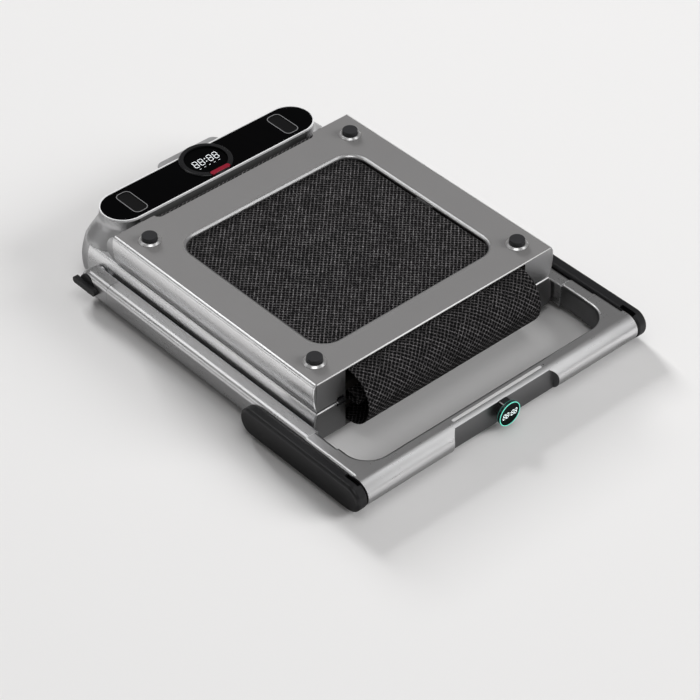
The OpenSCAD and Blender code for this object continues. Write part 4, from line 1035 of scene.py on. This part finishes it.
@dataclass
class WalkingPad:
    """The whole machine, built sub-assembly by sub-assembly."""

    dresser: Dresser = field(default_factory=Dresser)
    window_head: float = -195.5 * MM
    window_fold: float = 183 * MM
    window_side: float = 203 * MM
    lip: float = 8 * MM
    recess_side: float = 124 * MM
    recess_x: float = 408 * MM
    head_back_side: float = 176 * MM
    cut_x: float = 246.8 * MM
    fold_z: float = 75.5 * MM
    outer_z: float = 62.5 * MM
    slit: float = 2 * MM
    notch_y: float = 227 * MM
    round_y: float = 268.8 * MM
    chamfer: float = 1.6 * MM
    seam_x: float = 263 * MM
    brow: float = 4 * MM
    brow_z: float = 55 * MM

    def on_lip(self, centre: Vector, normal: Vector) -> bool:
        """Says whether a face belongs to the rolled lip round a plate's window, which takes a painted highlight.
        """
        within = self.window_head - self.lip < centre.x < self.window_fold + self.lip
        return within and abs(centre.y) < self.window_side + self.lip and abs(normal.z) < 0.985

    def on_flank(self, centre: Vector, normal: Vector) -> bool:
        """Says whether a face is on a plate's long outer edge, over the rail, which is painted lighter in place of
        its shade.
        """
        return abs(centre.y) > self.round_y and abs(normal.y) > 0.5

    def chamfer_plate(self, mesh: bmesh.types.BMesh) -> None:
        """Cuts a flat chamfer along a plate's outer edge at the fold.

        Args:
            mesh: The plate.
        """
        def at_fold(edge: bmesh.types.BMEdge) -> bool:
            """Says whether an edge is that outer edge."""
            return all(v.co.x > self.cut_x and abs(v.co.z - self.fold_z) > self.outer_z for v in edge.verts)

        ease_edges(mesh, self.chamfer, segments=1, angle=60.0, keep=at_fold)

    def chamfer_cap(self, mesh: bmesh.types.BMesh) -> None:
        """Cuts a flat chamfer round a cap's face at the fold: its round side, and the slit between the caps.

        Args:
            mesh: The cap.
        """
        def outer(point: Vector) -> bool:
            """Says whether a point lies on those edges."""
            in_slit = abs(point.z - self.fold_z) < self.slit and abs(point.y) > self.notch_y
            return point.x > self.cut_x and (in_slit or abs(point.y) > self.round_y)

        join_flats(mesh)
        edges = [e for e in mesh.edges if all(outer(v.co) for v in e.verts)]
        chamfer_edges(mesh, edges, self.chamfer, 1, clamp=False)

    def round_brow(self, mesh: bmesh.types.BMesh) -> None:
        """Rounds the cross member's top edge over its recess.

        Args:
            mesh: The cross member.
        """
        def on_brow(edge: bmesh.types.BMEdge) -> bool:
            """Says whether an edge is that top edge."""
            return all(abs(v.co.x - self.recess_x) < 0.5 * MM and v.co.z > self.brow_z for v in edge.verts)

        ease_edges(mesh, self.brow, segments=5, angle=60.0, keep=on_brow)

    def on_fold_edge(self, centre: Vector, normal: Vector) -> bool:
        """Says whether a face belongs to the chamfer at the fold, which takes a painted highlight."""
        return centre.x > self.cut_x - self.chamfer and 0.3 < normal.x < 0.97

    def on_seam(self, centre: Vector, normal: Vector) -> bool:
        """Says whether a face is on the eased end of a handrail tube, which takes a painted highlight."""
        return abs(centre.x - self.seam_x) < 1.5 * MM and 0.2 < normal.x < 0.97

    def on_shaded_head_back(self, centre: Vector, normal: Vector) -> bool:
        """Says whether a face is on the head cover's wall towards the deck, which is painted a darker gray as
        shade.
        """
        return normal.x > 0.45 and abs(centre.y) < self.head_back_side

    def inside_frame(self, centre: Vector, normal: Vector) -> bool:
        """Says whether a face is on the cross member's inner wall, towards the deck."""
        inward = normal.x < -0.3 or math.copysign(1.0, centre.y) * normal.y < -0.3
        return inward and abs(normal.z) < 0.8

    def in_recess(self, centre: Vector, normal: Vector) -> bool:
        """Says whether a face is the flat wall of the cross member's recess."""
        near = abs(centre.y) < self.recess_side and abs(centre.x - self.recess_x) < 1.5 * MM
        return near and normal.x > 0.9

    def deck(self) -> None:
        """Dresses the two deck halves."""
        d = self.dresser
        rail = SatinMetal("satin_rail", (0.82, 0.82, 0.825), 0.3).build()
        plate = SatinMetal("matt_plate", (0.285, 0.28, 0.28), 0.55, (3, 3, 3), metallic=0.35, spread=0.03).build()
        # The window's rolled lip is a much lighter copy of the plate's metal: a painted highlight.
        lip = SatinMetal("satin_lip_painted_highlight", (0.78, 0.78, 0.785), 0.34, (8, 8, 8)).build()
        # The plates' long outer sides get a lighter, partly matt copy of the metal: painted light in place of
        # their shade.
        flank = SatinMetal("plate_flank_painted_light", (0.85, 0.85, 0.855), 0.4, metallic=0.3).build()
        # The chamfers at the fold get a near-white copy of the metal: a painted highlight along the edge.
        bright = SatinMetal("fold_edge_painted_highlight", (0.95, 0.95, 0.95), 0.3, spread=0.03).build()
        # The lower half's caps are a darker copy of the upper half's: painted shade.
        lower_cap_shaded = SatinMetal("satin_cap", (0.37, 0.37, 0.375), 0.4).build()
        upper_cap = SatinMetal("satin_cap_upper", (0.52, 0.52, 0.525), 0.4).build()
        rubber = Moulded("foot_rubber", (0.022, 0.022, 0.024), 0.62).build()
        steel = SatinMetal("turned_steel", (0.5, 0.5, 0.51), 0.3).build()
        plating = SatinMetal("cup_plating", (0.95, 0.95, 0.95), 0.32, (9, 9, 9), spread=0.03).build()
        black = Moulded("hinge_black", (0.02, 0.02, 0.022), 0.4).build()
        d.ease(rail, 0.5 * MM, "front_rails", "rear_rails")
        for piece in d.ease(plate, 0.5 * MM, "front_plate", "rear_plate", angle=50.0, before=self.chamfer_plate):
            d.accent(piece, lip, self.on_lip)
            d.accent(piece, flank, self.on_flank)
            d.accent(piece, bright, self.on_fold_edge)
        for cap, node in ((lower_cap_shaded, "front_end_caps"), (upper_cap, "rear_end_caps")):
            d.accent(d.ease(cap, 0.0, node, before=self.chamfer_cap)[0], bright, self.on_fold_edge)
        d.ease(rubber, 0.0, "front_feet", "rear_feet", "front_cushions", "rear_cushions")
        d.ease(plating, 1.2 * MM, "front_foot_cups", "rear_foot_cups", segments=4)
        d.ease(black, 0.3 * MM, "front_hinge_leaves", "rear_hinge_leaves")
        d.ease(steel, 0.3 * MM, "front_cross_bars", "rear_cross_bars", "hinge_pins", "rear_adjusters")
        d.paint(steel, "front_axle", "rear_axle", "front_roller", "rear_roller", "front_bearings", "rear_bearings")
        d.paint(Plywood("running_board").build(), "front_board", "rear_board")

    def head(self) -> None:
        """Dresses the motor head and its console."""
        d = self.dresser
        cover = SatinMetal("head_paint", (0.56, 0.56, 0.565), 0.42, (8, 8, 8), spread=0.04).build()
        # The head cover's wall towards the deck gets a dark gray: painted shade in the gap under the console.
        shadow = Moulded("head_back_painted_shade", (0.13, 0.13, 0.13), 0.5, spread=0.3).build()
        handle = SatinMetal("handle_satin", (0.5, 0.5, 0.505), 0.4, (8, 8, 8), metallic=0.5).build()
        base = Moulded("base_black", (0.02, 0.02, 0.022), 0.5).build()
        panel = BlackGloss("console_gloss", (0.0012, 0.0012, 0.0014)).build()
        rim = SatinMetal("rim_satin", (0.95, 0.95, 0.955), 0.3, (4, 4, 4), spread=0.02, metallic=0.1).build()
        pad = Moulded("pad_rubber", (0.003, 0.003, 0.0034), 0.34, gloss=0.25).build()
        ring = Moulded("ring_dark", (0.008, 0.008, 0.009), 0.25, coat=0.3, gloss=0.25).build()
        key = Moulded("key_red", (0.27, 0.002, 0.02), 0.25, coat=0.6, gloss=0.3).build()
        for piece in d.ease(cover, 0.6 * MM, "head_housing"):
            d.accent(piece, shadow, self.on_shaded_head_back)
        d.ease(handle, 1.2 * MM, "rear_handle", segments=3)
        d.paint(base, "head_base", "front_pulley", "power_inlet", "wheel_left", "wheel_right", "power_switch")
        d.ease(panel, 0.3 * MM, "console_panel", "display_glass")
        d.ease(rim, 0.9 * MM, "console_rim")
        d.ease(pad, 0.8 * MM, "console_pads", segments=3)
        d.ease(ring, 0.9 * MM, "display_ring", segments=3)
        d.ease(key, 1.2 * MM, "safety_key", segments=3)
        d.paint(SatinMetal("motor_gray", (0.12, 0.125, 0.13), 0.4).build(), "motor_case")
        d.paint(Moulded("circuit_green", (0.02, 0.12, 0.05), 0.45).build(), "control_board")
        d.paint(SatinMetal("shaft_steel", (0.5, 0.5, 0.51), 0.25).build(), "motor_shaft", "handrail_pivots")
        d.paint(Moulded("drive_rubber", (0.02, 0.02, 0.02), 0.6).build(), "drive_belt")
        low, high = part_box("display_glass")
        white = Glow("digit_white", (0.85, 0.88, 0.9), 0.62).build()
        Readout(Vector(((low.x + high.x) / 2, 0, high.z)), Vector((-1, 0, 0)), 20 * MM, "front_deck", white,
                "console_digits", dashes=5).build("88:88")
        PadOutline(Moulded("outline_gray", (0.2, 0.2, 0.205), 0.4).build()).build()

    def handrail(self) -> None:
        """Dresses the handrail with its display, armrests and knobs."""
        d = self.dresser
        lengthwise = (60, 6, 60)
        tube = SatinMetal("satin_tube", (0.63, 0.63, 0.635), 0.3).build()
        # The tubes' eased ends get a light, barely metallic copy of the metal: a painted highlight along the seam.
        glint = SatinMetal("seam_painted_highlight", (0.95, 0.95, 0.95), 0.3, spread=0.03, metallic=0.2).build()
        cast = SatinMetal("satin_cast", (0.7, 0.7, 0.705), 0.3, lengthwise, grain=8e-6, speckle=0.05).build()
        # A darker copy of the cast metal on the recess wall and the frame's inner walls: painted shade.
        shaded = SatinMetal("cast_painted_shade", (0.26, 0.26, 0.265), 0.42, lengthwise).build()
        trim = SatinMetal("trim_satin", (0.85, 0.85, 0.85), 0.4, (60, 4, 60), metallic=0.3).build()
        silver = SatinMetal("strip_silver", (0.95, 0.95, 0.955), 0.3, spread=0.02, metallic=0.1).build()
        grip = Moulded("grip_rubber", (0.011, 0.011, 0.012), 0.36, gloss=0.36).build()
        black = Moulded("knob_black", (0.008, 0.008, 0.009), 0.42).build()
        for piece in d.ease(tube, 1.0 * MM, "posts"):
            d.accent(piece, glint, self.on_seam)
        for piece in d.ease(cast, 1.0 * MM, "bail", segments=3, before=self.round_brow):
            d.accent(piece, shaded, self.in_recess)
            d.accent(piece, shaded, self.inside_frame)
        d.ease(trim, 0.3 * MM, "bail_trim")
        d.ease(black, 0.4 * MM, "pod_body")
        back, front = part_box("pod_ring")
        teal = LitRing("ring_teal", (0.13, 0.62, 0.48), back.x, front.x, strength=1.1).build()
        d.ease(teal, 0.2 * MM, "pod_ring")
        DisplayArm(silver).build()
        d.ease(BlackGloss("pod_gloss", (0.006, 0.01, 0.009)).build(), 0.0, "pod_glass")
        d.ease(grip, 0.9 * MM, "armrest_left", "armrest_right")
        d.ease(black, 1.0 * MM, "knob_left", "knob_right", segments=3)
        d.paint(SatinMetal("pin_steel", (0.6, 0.6, 0.6), 0.25).build(), "armrest_pins")
        low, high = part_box("pod_glass")
        white = Glow("pod_white", (0.85, 0.97, 0.95), 0.85).build()
        Readout(Vector((high.x, 0, (low.z + high.z) / 2)), Vector((0, 0, 1)), 11.5 * MM, "handrail", white,
                "pod_digits", stroke=0.1).build("88:88")

    def build(self) -> None:
        """Builds the deck, belt, head and handrail in order."""
        self.deck()
        WalkingBelt(DiamondBelt("diamond_belt").build()).build()
        self.head()
        self.handrail()


def main() -> None:
    """Builds the scene."""
    logging.basicConfig(level=logging.INFO, format="%(name)s: %(message)s")
    Studio().build()
    WalkingPad().build()


if __name__ == "__main__":
    main()
